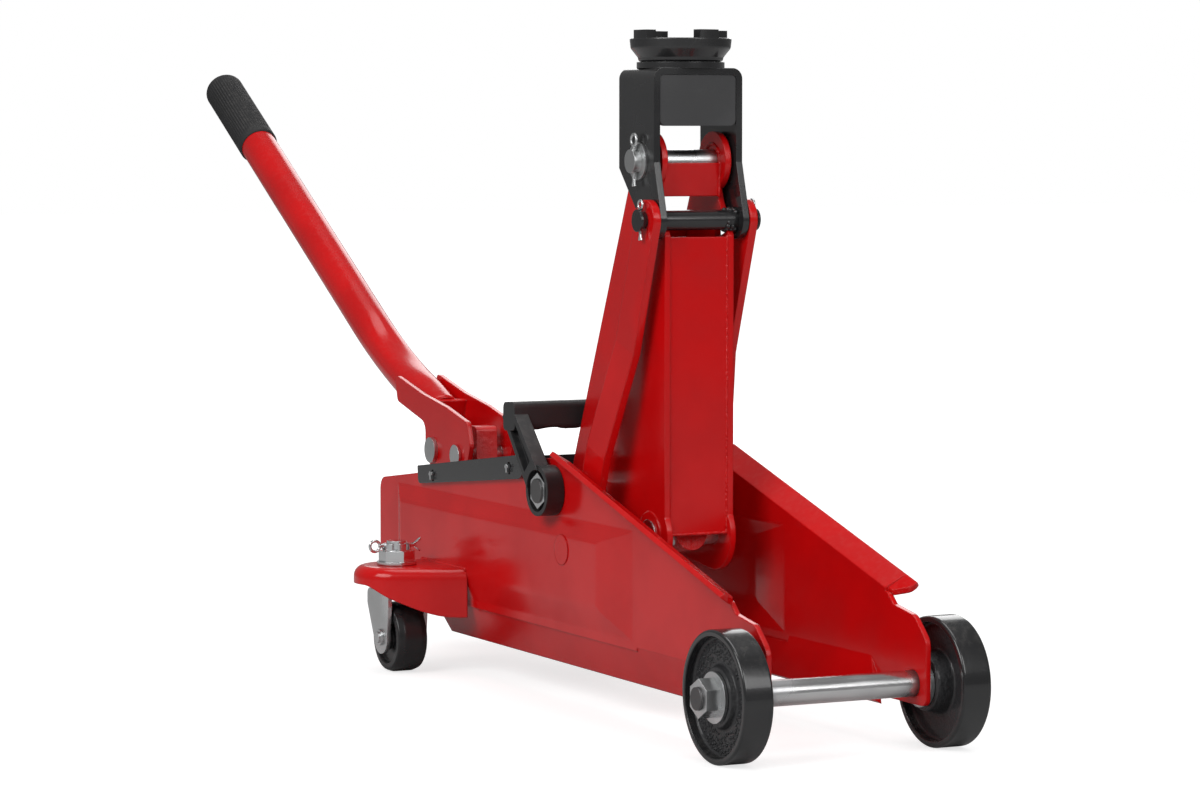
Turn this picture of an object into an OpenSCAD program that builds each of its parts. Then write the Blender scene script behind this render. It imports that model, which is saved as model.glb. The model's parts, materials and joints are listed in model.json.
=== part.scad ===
// Compact trolley jack, 2 t class, shown with the lift arm fully raised.
// Millimetres. +X is the front (large wheels), +Y the left side, +Z up.
// The origin is on the ground at the centre of the overall bounding box.

/* [Running gear] */
// Diameter of the front wheels
front_wheel_d = 70; // [60:1:84]
// Width of a front wheel
front_wheel_w = 17; // [14:0.5:22]
// Thickness of the front wheel's tread ring
front_rim_t = 4; // [3:0.5:5]
// Diameter of the front wheel's hub
front_hub_d = 34; // [28:1:38]
// Diameter of the front axle bar
axle_d = 14; // [12:1:16]
// Distance from the front axle to the caster swivels
wheelbase = 398; // [380:1:440]
// Distance from the centre plane to a caster swivel
caster_y = 79; // [76:1:90]
// Diameter of the caster wheels
caster_wheel_d = 42; // [36:1:46]
// Width of a caster wheel
caster_wheel_w = 19; // [14:1:22]
// Forward offset of the caster axle from its swivel
caster_trail = 5; // [2:0.5:9]

/* [Chassis] */
// Half of the width over the side plates
chassis_half = 49; // [47:0.5:60]
// Thickness of the side plates
plate_t = 3; // [2.5:0.25:4]
// Distance from the front axle back to the end of the side plates
chassis_rear = 494; // [484:1:560]
// Height of the side plates at their rear end
chassis_rear_z = 108; // [100:1:112]
// Height of the bend where the side plates are tallest
chassis_peak_z = 140; // [136:1:150]
// Outward lean of the top flange
flange_out = 11; // [6:0.5:14]
// Rise of the top flange
flange_up = 8; // [5:0.5:12]
// How far the pressed belly stands out
belly_out = 3; // [2:0.25:4]

/* [Lift arm] */
// Distance of the main pivot behind the front axle
pivot_x = 240; // [230:1:250]
// Height of the main pivot
pivot_z = 121; // [118:1:126]
// Forward reach of the arm from its pivot to the head pin
arm_dx = 65; // [60:0.5:70]
// Rise of the arm from its pivot to the head pin
arm_dz = 187.5; // [175:0.5:200]
// Width over the arm's side plates
arm_w = 43; // [40:0.5:46]
// Thickness of the arm's side plates
arm_t = 3.5; // [3:0.25:4]
// Radius of the arm's hub round the main pivot
arm_hub_r = 34; // [28:0.5:36]
// Radius of the arm's ear round the head pin
arm_ear_r = 16.5; // [14:0.5:18]
// Radius of the arm's lobe round the ram pin
ram_lobe_r = 21; // [17:0.5:22]
// Diameter of the main shaft
main_shaft_d = 18; // [16:1:22]
// Diameter of the head pin
head_pin_d = 13; // [11:0.5:14]

/* [Saddle head] */
// Width over the bracket's cheeks
bracket_w = 55; // [53:0.5:58]
// Thickness of the bracket's strap
bracket_t = 3.8; // [3:0.1:4.2]
// Depth of the bracket, front to back
bracket_d = 43; // [38:0.5:48]
// Height of the bracket's top above the head pin
bracket_rise = 51.5; // [48:0.5:56]
// Diameter of the saddle's rim
saddle_d = 57; // [52:0.5:64]
// Height of the saddle's cup
saddle_h = 13; // [10:0.5:16]
// Height of the four lugs on the saddle's rim
saddle_lug_h = 4.5; // [3:0.5:6]
// Forward offset of the tie rod pin from the head pin
link_dx = 16; // [13:0.5:18]
// Drop of the tie rod pin from the head pin
link_dz = 32.5; // [30:0.5:34]
// Width of a tie rod
rod_w = 23; // [18:0.5:25]
// Thickness of a tie rod
rod_t = 4.5; // [3.5:0.25:5]

/* [Hydraulics] */
// Diameter of the ram
ram_d = 19.4; // [16:0.2:22]
// Outer diameter of the cylinder
cylinder_d = 34; // [30:0.5:34.5]
// Distance of the cylinder's anchor pin behind the front axle
anchor_x = 400; // [395:1:402]
// Height of the anchor pin
anchor_z = 60; // [58:0.5:62]
// Diameter of the pump plunger
plunger_d = 12; // [10:0.5:13]

/* [Handle] */
// Outer diameter of the handle tube
tube_d = 25; // [22:0.5:25.5]
// Wall of the handle tube
tube_wall = 1.8; // [1.2:0.1:2.5]
// Slope of the handle's lower stretch
socket_angle = 21; // [18:0.5:23]
// Length of the lower stretch from the bend down into the socket
socket_len = 92; // [85:1:96]
// Slope of the handle's upper stretch
handle_angle = 30; // [26:0.5:34]
// Length of the upper stretch from the bend to the grip's end
handle_len = 356; // [280:1:430]
// Diameter of the grip
grip_d = 27.4; // [26:0.2:30]
// Length of the grip
grip_len = 84; // [70:1:110]

/* [Hidden] */

$fn = 64;
eps = 0.01;
// running clearance of a pin in its hole, on the radius
fit = 0.05;
// clearance between faces that pass each other
gap = 0.4;

paint = [0.80, 0.05, 0.04];
black = [0.05, 0.05, 0.055];
zinc = [0.72, 0.73, 0.74];
steel = [0.62, 0.63, 0.65];
grey_black = [0.16, 0.16, 0.17];

// ---- where everything stands, measured back from the front axle -------------
axle_z = front_wheel_d / 2;
p1 = [-pivot_x, pivot_z];
q1 = p1 + [arm_dx, arm_dz];
p2 = p1 + [link_dx, -link_dz];
q2 = q1 + [link_dx, -link_dz];
// ram pin, on the arm's lower front lobe
ram_dx = 67;
ram_dz = -21;
rp = p1 + [ram_dx, ram_dz];
// handle pivot and roller pin
s1 = [-449.5, 123.5];
s2 = [-486.5, 124.5];
bend = [-592, 178];
anchor = [-anchor_x, anchor_z];
// the cylinder's eye stands off the anchor pin at this pose, see eye_r
eye_off = [-5.7, 5.2];
eye = anchor + eye_off;
ram_len = norm(rp - eye);
ram_tilt = atan2(rp[1] - eye[1], rp[0] - eye[0]);

// ---- overall box, which sets the origin -------------------------------------
grip_round = 6;
grip_end = bend + handle_len * [-cos(handle_angle), sin(handle_angle)];
grip_ring = grip_end + grip_round * [cos(handle_angle), -sin(handle_angle)];
rear_x = grip_ring[0] - (grip_d / 2 - grip_round) * sin(handle_angle) - grip_round;
front_x = front_wheel_d / 2;
mid_x = (rear_x + front_x) / 2;

// ---- derived sizes ----------------------------------------------------------
inner_half = chassis_half - plate_t;
wheel_in_y = chassis_half + 7.2;
wheel_out_y = wheel_in_y + front_wheel_w;
hub_out_y = wheel_out_y - 2;
hub_in_y = chassis_half + 3;
washer_t = 2;
nut_h = 8.5;
thread_d = 12;
arm_half = arm_w / 2;
arm_in = arm_half - arm_t;
bracket_half = bracket_w / 2;
bracket_in = bracket_half - bracket_t;
rod_in_top = bracket_half + gap;
rod_out_top = rod_in_top + rod_t;
rod_flare = 8;
rod_in_low = rod_in_top + rod_flare;
ear_r = 26;
ear_z = 64;
ear_t = 3;
yoke_top = 49;
yoke_t = 2.5;
yoke_half = caster_wheel_w / 2 + 1 + yoke_t;
caster_z = caster_wheel_d / 2;
kingpin_d = 12;
king_nut_h = 9;
boss_r = 14.5;
boss_y = chassis_half + 11;
grip_cap = 3.2;
cover_half = chassis_half + 2.8;
cover_t = 1.8;
cover_rear = [-429, 120.5];
cover_front = [-274, 139];
cheek_in = 13;
cheek_t = 3;
cheek_out = cheek_in + cheek_t;
bar_r = 5;

// ---- helpers ----------------------------------------------------------------
// moves a shape drawn from the front axle into the part's frame
module placed() { translate([-mid_x, 0, 0]) children(); }

// stands a profile drawn in x and z up, from y0 to y1
module slab(y0, y1) {
  translate([0, max(y0, y1), 0]) rotate([90, 0, 0])
    linear_extrude(abs(y1 - y0)) children();
}

// a round bar along y through the point p
module bar(p, r, y0, y1, fn = 64) {
  translate([p[0], max(y0, y1), p[1]]) rotate([90, 0, 0])
    cylinder(r = r, h = abs(y1 - y0), $fn = fn);
}

// a ring along y
module ring(p, ro, ri, y0, y1) {
  difference() {
    bar(p, ro, y0, y1);
    bar(p, ri, min(y0, y1) - 1, max(y0, y1) + 1);
  }
}

// a hexagon along y, across flats af
module hex_bar(p, af, y0, y1) {
  translate([p[0], max(y0, y1), p[1]]) rotate([90, 0, 0]) rotate([0, 0, 30])
    cylinder(d = af / cos(30), h = abs(y1 - y0), $fn = 6);
}

// mirrors a right-hand piece to the left when side is 1
module on_side(side) { if (side > 0) mirror([0, 1, 0]) children(); else children(); }

// outline with rounded corners, from points [x, y, radius]
function unit(v) = v / norm(v);
function corner(a, b, c, r, n = 5) =
  let (u = unit([a[0] - b[0], a[1] - b[1]]), w = unit([c[0] - b[0], c[1] - b[1]]),
       half = acos(max(-1, min(1, u * w))) / 2)
  (r < 0.01 || half > 89) ? [[b[0], b[1]]] :
  let (d = r / tan(half), m = unit(u + w), o = [b[0], b[1]] + m * r / sin(half),
       s = [b[0], b[1]] + u * d - o, e = [b[0], b[1]] + w * d - o,
       a0 = atan2(s[1], s[0]), a1 = atan2(e[1], e[0]),
       da = (a1 - a0 > 180) ? a1 - a0 - 360 : (a1 - a0 < -180) ? a1 - a0 + 360 : a1 - a0)
  [for (i = [0:n]) o + r * [cos(a0 + da * i / n), sin(a0 + da * i / n)]];
function rounded(p) = [for (i = [0:len(p) - 1])
  each corner(p[(i + len(p) - 1) % len(p)], p[i], p[(i + 1) % len(p)], p[i][2])];

// n + 1 points along an arc about o, from angle a0 to a1
function arc(o, r, a0, a1, n) =
  [for (i = [0:n]) o + r * [cos(a0 + (a1 - a0) * i / n), sin(a0 + (a1 - a0) * i / n)]];

// where the outer tangent of two circles touches them, on the left of a to b
function touch(a, ra, b, rb) =
  let (d = norm(b - a), th = atan2(b[1] - a[1], b[0] - a[0]), al = acos((ra - rb) / d),
       n = [cos(th + al), sin(th + al)])
  [a + ra * n, b + rb * n];

// two circles and the straight band between them
module link2(a, ra, b, rb) {
  l = touch(a, ra, b, rb);
  r = touch(b, rb, a, ra);
  translate(a) circle(r = ra);
  translate(b) circle(r = rb);
  polygon([l[0], l[1], r[0], r[1]]);
}

// split pin through a bar: an eye, a straight shank and two bent legs, along z
module split_pin(p, y, d, up, down, spread) {
  translate([p[0], y, p[1]]) {
    translate([0, 0, -down]) cylinder(d = d, h = up + down, $fn = 24);
    translate([0, 0, up + d * 1.1]) rotate([90, 0, 0])
      rotate_extrude($fn = 40) translate([d * 1.3, 0]) circle(d = d * 0.8, $fn = 20);
    for (s = [-1, 1])
      translate([0, 0, -down + d * 0.3]) rotate([0, s * spread, 0])
        translate([0, 0, -down * 0.55]) cylinder(d = d * 0.7, h = down * 0.55, $fn = 20);
  }
}

// ---- chassis ----------------------------------------------------------------
slope = atan2(chassis_peak_z - 80, pivot_x - 2 - 27);
web_pts = [
  [-chassis_rear, 62, 8], [-chassis_rear, chassis_rear_z, 8], [-pivot_x + 2, chassis_peak_z, 12],
  [-27, 80, 1], [-21, 74.5, 3], [0, 71, 10], [13, 59, 8], [13, 24, 4],
  [-28, 24, 3], [-51, 43, 3], [-414, 43, 4], [-440, 50, 8]];

// the sheet's pressed belly, with its crest at y and its foot let into the sheet
belly_z = [46, 106];
module belly(y) {
  foot = y + belly_out + 2 * eps;
  x0 = -chassis_rear + 29;
  x1 = -140;
  z0 = belly_z[0];
  z1 = belly_z[1];
  intersection() {
    translate([0, 0, z0 - 5]) linear_extrude(z1 - z0 + 10) polygon(rounded([
      [x0 - 5, foot + 1, 0], [x0 - 5, foot, 0], [x0, foot, 9], [x0 + 9, y, 9],
      [x1 - 40, y, 60], [x1, foot, 60], [x1 + 5, foot, 0], [x1 + 5, foot + 1, 0]]));
    translate([x0 - 5, 0, 0]) rotate([90, 0, 90]) linear_extrude(x1 - x0 + 10) polygon(rounded([
      [foot + 1, z0 - 5, 0], [foot, z0 - 5, 0], [foot, z0, 12], [y, z0 + 14, 26],
      [y, z1 - 9, 12], [foot, z1, 10], [foot, z1 + 4, 0], [foot + 1, z1 + 4, 0]]));
  }
}

module side_plate(side) {
  y_out = -chassis_half;
  y_in = -inner_half;
  color(paint) placed() on_side(side) difference() {
    union() {
      slab(y_out, y_in) polygon(rounded(web_pts));
      belly(y_out - belly_out);
      // top flange along the front slope, leaning outward
      translate([-27, 0, 80]) rotate([0, slope, 0]) translate([-206, 0, 0])
        rotate([90, 0, 90]) linear_extrude(203)
          polygon([[y_in, -3], [y_out, -3], [y_out, -0.8], [y_out - flange_out, flange_up - 1.5],
                   [y_out - flange_out + 1.9, flange_up + 0.8], [y_in, 1.8]]);
      // rounded front lobe of the flange
      translate([-27, 0, 80]) rotate([0, slope, 0])
        intersection() {
          translate([-3 - eps, 0, 0]) rotate([90, 0, 90]) linear_extrude(14)
            polygon([[y_out + 1, 0.4], [y_out, -0.8], [y_out - flange_out, flange_up - 1.5],
                     [y_out - flange_out + 1.9, flange_up + 0.8], [y_out + 1, 2]]);
          translate([0, 0, -10]) linear_extrude(40) polygon(rounded([
            [-6, y_out + 2, 0], [0, y_out + 2, 2], [9, y_out - 6, 4],
            [9, y_out - flange_out - 1, 4], [-6, y_out - flange_out - 1, 0]]));
        }
      // bottom flange, leaning inward
      intersection() {
        translate([-424, 0, 0]) rotate([90, 0, 90]) linear_extrude(404)
          polygon([[y_out, 43.5], [y_in, 44.5], [y_in + 7, 22.5], [y_in + 4.5, 21]]);
        slab(y_out - 1, y_in + 20)
          polygon([[-418, 46], [-45, 46], [-24, 20], [-400, 20]]);
      }
    }
    // hollow behind the belly, so that the wall stays even
    belly(y_out - belly_out + plate_t);
    bar([0, axle_z], axle_d / 2 + fit, -80, 0);
    bar(p1, thread_d / 2 + 1 + fit, -80, 0);
    bar(p2, 5 + fit, -80, 0);
  }
}
module side_plate_right() { side_plate(-1); }
module side_plate_left() { side_plate(1); }

module rear_floor_plate() {
  color(paint) placed() difference() {
    translate([-490, -inner_half + fit, 44]) cube([66, 2 * (inner_half - fit), 4]);
    translate([-470, 0, 40]) cylinder(d = 10, h = 20);
  }
}

module front_axle() {
  color(steel) placed() {
    bar([0, axle_z], axle_d / 2, -hub_in_y + washer_t, hub_in_y - washer_t);
    bar([0, axle_z], thread_d / 2, -hub_out_y - washer_t - nut_h - 1.5,
        hub_out_y + washer_t + nut_h + 1.5);
  }
}

module axle_spacers() {
  color(zinc) placed() for (s = [-1, 1])
    ring([0, axle_z], 13, axle_d / 2 + fit, s * (chassis_half + 0.1), s * (hub_in_y - 0.3));
}

module axle_washers() {
  color(zinc) placed() for (s = [-1, 1])
    ring([0, axle_z], 13.5, thread_d / 2 + fit, s * (hub_out_y + 0.3), s * (hub_out_y + washer_t));
}

module axle_nuts() {
  color(zinc) placed() for (s = [-1, 1]) difference() {
    hex_bar([0, axle_z], 18, s * (hub_out_y + washer_t), s * (hub_out_y + washer_t + nut_h));
    bar([0, axle_z], thread_d / 2 + fit, s * 60, s * 100);
  }
}

// front wheel: tread ring, recessed web and hub, turned about y
module front_wheel(side) {
  r = front_wheel_d / 2;
  web_y0 = wheel_in_y + 5.5;
  web_y1 = wheel_out_y - 5.5;
  color(black) placed() on_side(side)
    translate([0, 0, axle_z]) rotate([90, 0, 0]) rotate_extrude($fn = 96)
      polygon(rounded([
        [thread_d / 2 + 0.1, hub_in_y, 0], [front_hub_d / 2 - 2, hub_in_y, 1],
        [front_hub_d / 2, web_y0, 1.5], [r - front_rim_t, web_y0, 1.5],
        [r - front_rim_t + 0.6, wheel_in_y, 0.6], [r, wheel_in_y, 1.4], [r, wheel_out_y, 1.4],
        [r - front_rim_t + 0.6, wheel_out_y, 0.6], [r - front_rim_t, web_y1, 1.5],
        [front_hub_d / 2, web_y1, 1.5], [front_hub_d / 2 - 1.5, hub_out_y, 1],
        [thread_d / 2 + 0.1, hub_out_y, 0]]));
}
module front_wheel_right() { front_wheel(-1); }
module front_wheel_left() { front_wheel(1); }

// ---- casters ----------------------------------------------------------------
ear_c = [-wheelbase, -caster_y];
module ear_plan(r, trim) {
  back = [-wheelbase - 26 + trim, -chassis_half + 1];
  front = [-wheelbase + 46 - trim, -chassis_half + 1];
  f = touch(front, 0, ear_c, r)[1] - ear_c;
  b = touch(ear_c, r, back, 0)[0] - ear_c;
  from = atan2(f[1], f[0]);
  to = atan2(b[1], b[0]);
  // clockwise, past the outermost point
  polygon(concat([front], arc(ear_c, r, from, to > from ? to - 360 : to, 24), [back]));
}

module caster_ear(side) {
  color(paint) placed() on_side(side) difference() {
    intersection() {
      difference() {
        translate([0, 0, 30]) linear_extrude(ear_z - 30) ear_plan(ear_r, 0);
        translate([0, 0, 29]) linear_extrude(ear_z - ear_t - 29) ear_plan(ear_r - ear_t, ear_t);
      }
      // the lip deepens towards the front
      slab(-150, 0) polygon(rounded([
        [-430, ear_z + 1, 0], [-340, ear_z + 1, 0], [-340, 34, 0], [-354, 35, 2],
        [-364, 43, 10], [-384, 51, 20], [-430, 54, 0]]));
      // stops at the outer face of the pressed belly
      translate([-wheelbase - 60, -150, 0])
        cube([140, 150 - chassis_half - belly_out - eps, ear_z + 2]);
    }
    translate([-wheelbase, -caster_y, 0]) cylinder(d = kingpin_d + 2 * fit, h = 100);
  }
}
module caster_ear_right() { caster_ear(-1); }
module caster_ear_left() { caster_ear(1); }

// zinc fork: top plate and two tapering cheeks with round lower ends
module caster_yoke(side) {
  ax = [-wheelbase + caster_trail, caster_z];
  color(zinc) placed() on_side(side) difference() {
    translate([0, -caster_y, 0]) {
      for (s = [-1, 1]) slab(s * (yoke_half - yoke_t), s * yoke_half) difference() {
        union() {
          polygon(rounded([[-wheelbase - 15, yoke_top, 3], [-wheelbase + 17, yoke_top, 3],
            [-wheelbase + 17, yoke_top - 9, 4], [ax[0] + 9.5, ax[1] - 2, 1],
            [ax[0] - 9.5, ax[1] - 2, 1], [-wheelbase - 15, yoke_top - 9, 4]]));
          translate(ax) circle(r = 10);
        }
        translate(ax) circle(d = 6 + 2 * fit);
      }
      translate([-wheelbase - 14, -yoke_half + 0.5, yoke_top - yoke_t])
        cube([30, 2 * yoke_half - 1, yoke_t]);
      // swivel race pressed up from the top plate
      translate([-wheelbase, 0, yoke_top - eps]) cylinder(r = 13, h = 4);
      translate([-wheelbase, 0, yoke_top + 4 - 2 * eps]) cylinder(r = 10, h = ear_z - ear_t - yoke_top - 4.4);
    }
    translate([-wheelbase, -caster_y, 0]) cylinder(d = kingpin_d + 2 * fit, h = 100);
  }
}
module caster_yoke_right() { caster_yoke(-1); }
module caster_yoke_left() { caster_yoke(1); }

module caster_kingpin(side) {
  color(zinc) placed() on_side(side) translate([-wheelbase, -caster_y, 0]) difference() {
    union() {
      translate([0, 0, yoke_top - yoke_t - 2.5]) cylinder(d = 17, h = 2.5);
      translate([0, 0, yoke_top - yoke_t - 1]) cylinder(d = kingpin_d, h = 33);
    }
    translate([0, 0, ear_z + 11.5]) rotate([90, 0, 0])
      cylinder(d = 2.8, h = 40, center = true, $fn = 24);
  }
}
module caster_kingpin_right() { caster_kingpin(-1); }
module caster_kingpin_left() { caster_kingpin(1); }

// castle nut on a washer
module caster_nut(side) {
  color(zinc) placed() on_side(side) translate([-wheelbase, -caster_y, ear_z]) difference() {
    union() {
      translate([0, 0, 0.3]) cylinder(d = 24, h = 1.8);
      translate([0, 0, 2]) cylinder(d = 19 / cos(30), h = 6.5, $fn = 6);
      translate([0, 0, 8.4]) cylinder(d = 17, h = 4.6);
    }
    translate([0, 0, -1]) cylinder(d = kingpin_d + 2 * fit, h = 30);
    for (a = [0, 60, 120]) rotate([0, 0, a + 90])
      translate([-15, -1.6, 9.2]) cube([30, 3.2, 6]);
  }
}
module caster_nut_right() { caster_nut(-1); }
module caster_nut_left() { caster_nut(1); }

// split pin through the kingpin, lying across the castle slots, along y
module caster_split_pin(side) {
  color(zinc) placed() on_side(side) translate([-wheelbase, -caster_y, ear_z + 11.5]) {
    rotate([90, 0, 0]) cylinder(d = 2.6, h = 23, center = true, $fn = 24);
    translate([0, -14.2, 0]) rotate([0, 90, 0])
      rotate_extrude($fn = 40) translate([3.2, 0]) circle(d = 1.9, $fn = 20);
    for (s = [-1, 1]) translate([0, 10.8, 0]) rotate([s * 38 - 90, 0, 0])
      cylinder(d = 1.7, h = 6, $fn = 20);
  }
}
module caster_split_pin_right() { caster_split_pin(-1); }
module caster_split_pin_left() { caster_split_pin(1); }

module caster_axle(side) {
  ax = [-wheelbase + caster_trail, caster_z];
  color(zinc) placed() on_side(side) translate([0, -caster_y, 0]) {
    bar(ax, 3, -yoke_half - 0.5, yoke_half + 0.5);
    for (s = [-1, 1]) {
      bar(ax, 5, s * (yoke_half + 0.05), s * (yoke_half + 1.4));
      bar(ax, 3.4, s * (yoke_half + 1.3), s * (yoke_half + 2.4));
    }
  }
}
module caster_axle_right() { caster_axle(-1); }
module caster_axle_left() { caster_axle(1); }

// slightly crowned black wheel with a bored hub
module caster_wheel(side) {
  r = caster_wheel_d / 2;
  w = caster_wheel_w / 2;
  ax = [-wheelbase + caster_trail, caster_z];
  color(black) placed() on_side(side) translate([ax[0], -caster_y, ax[1]])
    rotate([90, 0, 0]) rotate_extrude($fn = 96)
      polygon(rounded([
        [3 + fit, -w, 0], [7, -w, 0.5], [7.5, -w + 2.5, 0.5], [r - 6, -w + 2.5, 1],
        [r - 5, -w, 0.5], [r - 1.4, -w, 1.5], [r, 4 - w, 5], [r, w - 4, 5], [r - 1.4, w, 1.5],
        [r - 5, w, 0.5],
        [r - 6, w - 2.5, 1], [7.5, w - 2.5, 0.5], [7, w, 0.5], [3 + fit, w, 0]]));
}
module caster_wheel_right() { caster_wheel(-1); }
module caster_wheel_left() { caster_wheel(1); }

// ---- shafts and cover -------------------------------------------------------
module main_shaft() {
  color(steel) placed() {
    bar(p1, main_shaft_d / 2, -inner_half + 0.1, inner_half - 0.1);
    bar(p1, thread_d / 2 + 1, -boss_y - 0.6, boss_y + 0.6);
  }
}

// flanged nuts that sit in the carry handle's bosses
module shaft_nuts() {
  color(zinc) placed() for (s = [-1, 1]) difference() {
    union() {
      bar(p1, 10.8, s * (chassis_half + 4.6), s * (chassis_half + 6.4));
      hex_bar(p1, 18, s * (chassis_half + 6.2), s * (boss_y - 0.4));
    }
    bar(p1, thread_d / 2 + 1 + fit, s * 40, s * 90);
  }
}

// riveted studs that carry the tie rods: flush heads outside, collars inside
module tie_rod_studs() {
  color(paint) placed() for (s = [-1, 1]) {
    bar(p2, 5, s * (rod_in_low - 1.5), s * (chassis_half + belly_out + 0.3));
    bar(p2, 8.8, s * (chassis_half + belly_out + 0.02), s * (chassis_half + belly_out + 0.5));
    bar(p2, 9, s * (rod_in_low + rod_t + gap), s * (chassis_half + belly_out - plate_t - 0.3));
    bar(p2, 7, s * (rod_in_low - 1.5), s * (rod_in_low - 0.3));
  }
}

cover_tilt = atan2(cover_front[1] - cover_rear[1], cover_front[0] - cover_rear[0]);
cover_len = norm(cover_front - cover_rear);
module top_cover() {
  color(black) placed() translate([cover_rear[0], 0, cover_rear[1]]) rotate([0, -cover_tilt, 0])
    difference() {
      union() {
        // sheet with a cut-out for the arm's hub
        translate([0, 0, -cover_t]) linear_extrude(cover_t) polygon(rounded([
          [0, -cover_half, 2], [cover_len, -cover_half, 3], [cover_len, -41, 4],
          [cover_len - 26, -33, 6], [cover_len - 38, -33, 6], [cover_len - 38, 33, 6],
          [cover_len - 26, 33, 6], [cover_len, 41, 4], [cover_len, cover_half, 3],
          [0, cover_half, 2]]));
        // side skirts with rounded front corners
        for (s = [-1, 1]) slab(s * (cover_half - cover_t), s * cover_half)
          polygon(rounded([[0, 0, 1], [0, -11, 3], [cover_len - 4, -14, 9],
                           [cover_len, 0, 1]]));
        // turned-down front edge inside the cut-out
        translate([cover_len - 38 - cover_t, -33, -9]) cube([cover_t, 66, 9 - 0.5]);
      }
      for (s = [-1, 1], x = [23, cover_len - 22]) translate([x - 1.4, s * cover_half - 3, -10.5])
        cube([2.8, 6, 7]);
    }
}

// spring clips that hook through the slots of the cover's skirts
module cover_clips() {
  color(zinc) placed() translate([cover_rear[0], 0, cover_rear[1]]) rotate([0, -cover_tilt, 0])
    for (s = [-1, 1], x = [23, cover_len - 22]) {
      translate([x - 0.9, s * (cover_half + 0.1) - 1.9, -9.6]) cube([1.8, 3.8, 5]);
      translate([x - 2.4, s * (cover_half + 1.1) - 0.7, -6.8]) cube([4.8, 1.4, 1.5]);
    }
}

// plastic carrying handle: two channelled legs on bosses and a finger grip
grip_c = [-275.5, 160.5];
leg_dir = unit(grip_c - p1);
module carry_handle() {
  n = [-leg_dir[1], leg_dir[0]];
  color(black) placed() {
    for (s = [-1, 1]) difference() {
      union() {
        bar(p1, boss_r, s * (chassis_half + 0.3), s * boss_y);
        slab(s * (cover_half + 0.3), s * (boss_y + 0.8))
          polygon([p1 + n * 8.5, p1 - n * 9.5, grip_c - n * 6.5 + leg_dir * 6,
                   grip_c + n * 7 + leg_dir * 6]);
      }
      bar(p1, thread_d / 2 + 1 + fit, s * 40, s * 90);
      bar(p1, 11.9, s * (chassis_half + 4.3), s * 90);
      // channel in the leg's outer face
      slab(s * (boss_y - 3.5), s * (boss_y + 3))
        polygon([p1 + n * 5 + leg_dir * 17, p1 - n * 5.5 + leg_dir * 17,
                 grip_c - n * 3.6 - leg_dir * 4, grip_c + n * 4 - leg_dir * 4]);
    }
    // grip: rounded bar with finger waves on the underside
    difference() {
      slab(-boss_y - 0.8, boss_y + 0.8) polygon(rounded([
        [grip_c[0] - 8, grip_c[1] - 8, 3], [grip_c[0] - 8, grip_c[1] + 8.5, 3.5],
        [grip_c[0] + 7, grip_c[1] + 9.5, 3.5], [grip_c[0] + 8, grip_c[1] - 7, 3]]));
      for (i = [-1.5:1:1.5]) translate([grip_c[0], i * 24, grip_c[1] - 8 - 32])
        rotate([0, 90, 0]) cylinder(r = 34, h = 40, center = true, $fn = 128);
    }
  }
}

// ---- arm --------------------------------------------------------------------
function ln(p, q, t) = p + (q - p) * t;
arm_front_x = rp[0] + ram_lobe_r - 3.4;
shoulder_z = q2[1] - 8.5;
module arm_outline() {
  hub_t = touch(p1, arm_hub_r, q1, arm_ear_r);
  low_t = touch(rp, ram_lobe_r, p1, arm_hub_r);
  difference() {
    union() {
      translate(p1) circle(r = arm_hub_r, $fn = 96);
      translate(q1) circle(r = arm_ear_r);
      translate(rp) circle(r = ram_lobe_r);
      polygon([hub_t[0], hub_t[1], q1, [q1[0] + 8, q1[1] - 22], [arm_front_x, shoulder_z],
               [arm_front_x, rp[1]], rp, low_t[0], low_t[1], p1]);
    }
    // room for the link spacer as the head swings about the head pin
    difference() {
      translate(q1) circle(r = norm([link_dx, link_dz]) + bar_r + 1.3, $fn = 96);
      translate(q1) circle(r = norm([link_dx, link_dz]) - bar_r - 1.3, $fn = 96);
      polygon([q1 + [-80, -80], q1 + 60 * unit([3.5, -link_dz]), q1 + [-80, 80]]);
      polygon([q1, q1 + 60 * unit([3.5, -link_dz]), q1 + [-80, -80]]);
      translate([q1[0] - 60, q1[1] - 60]) square([64, 120]);
    }
  }
}

module arm_plate(side) {
  color(paint) placed() on_side(side) difference() {
    union() {
      slab(-arm_half, -arm_in) arm_outline();
      // pressed boss rings round the ram pin
      bar(rp, 13.5, -arm_half - 0.8, -arm_in);
    }
    bar(p1, main_shaft_d / 2 + 3 + fit, -60, 0);
    bar(q1, head_pin_d / 2 + fit, -60, 0);
    bar(rp, 6.5, -60, 0);
  }
}
module arm_plate_right() { arm_plate(-1); }
module arm_plate_left() { arm_plate(1); }

// cover plate let in between the side plates
module arm_front_plate() {
  color(paint) placed()
    slab(-arm_in + fit, arm_in - fit)
      polygon([[arm_front_x - 4, rp[1] + 1.5], [arm_front_x - 1, rp[1] + 1.5],
               [arm_front_x - 1, shoulder_z - 0.8], [arm_front_x - 4, shoulder_z - 0.8]]);
}

// short plate between the ears, leaning back
module arm_upper_plate() {
  behind = 3;
  a = q1 + [head_pin_d / 2 + behind - 0.9, -19.5];
  b = q1 + [head_pin_d / 2 + behind + gap + 0.5, -1];
  w = unit(b - a);
  m = [-w[1], w[0]] * behind;
  color(paint) placed() slab(-arm_in + fit, arm_in - fit) polygon([a, b, b + m, a + m]);
}

// stiffening plate along the back of the arm
module arm_rear_plate() {
  hub_t = touch(p1, arm_hub_r, q1, arm_ear_r);
  a = ln(hub_t[0], hub_t[1], 0.22);
  b = ln(hub_t[0], hub_t[1], 0.78);
  w = unit(b - a);
  m = [w[1], -w[0]];
  color(paint) placed()
    slab(-arm_in + fit, arm_in - fit) polygon([a + m * 2, b + m * 2, b + m * 5, a + m * 5]);
}

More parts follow.
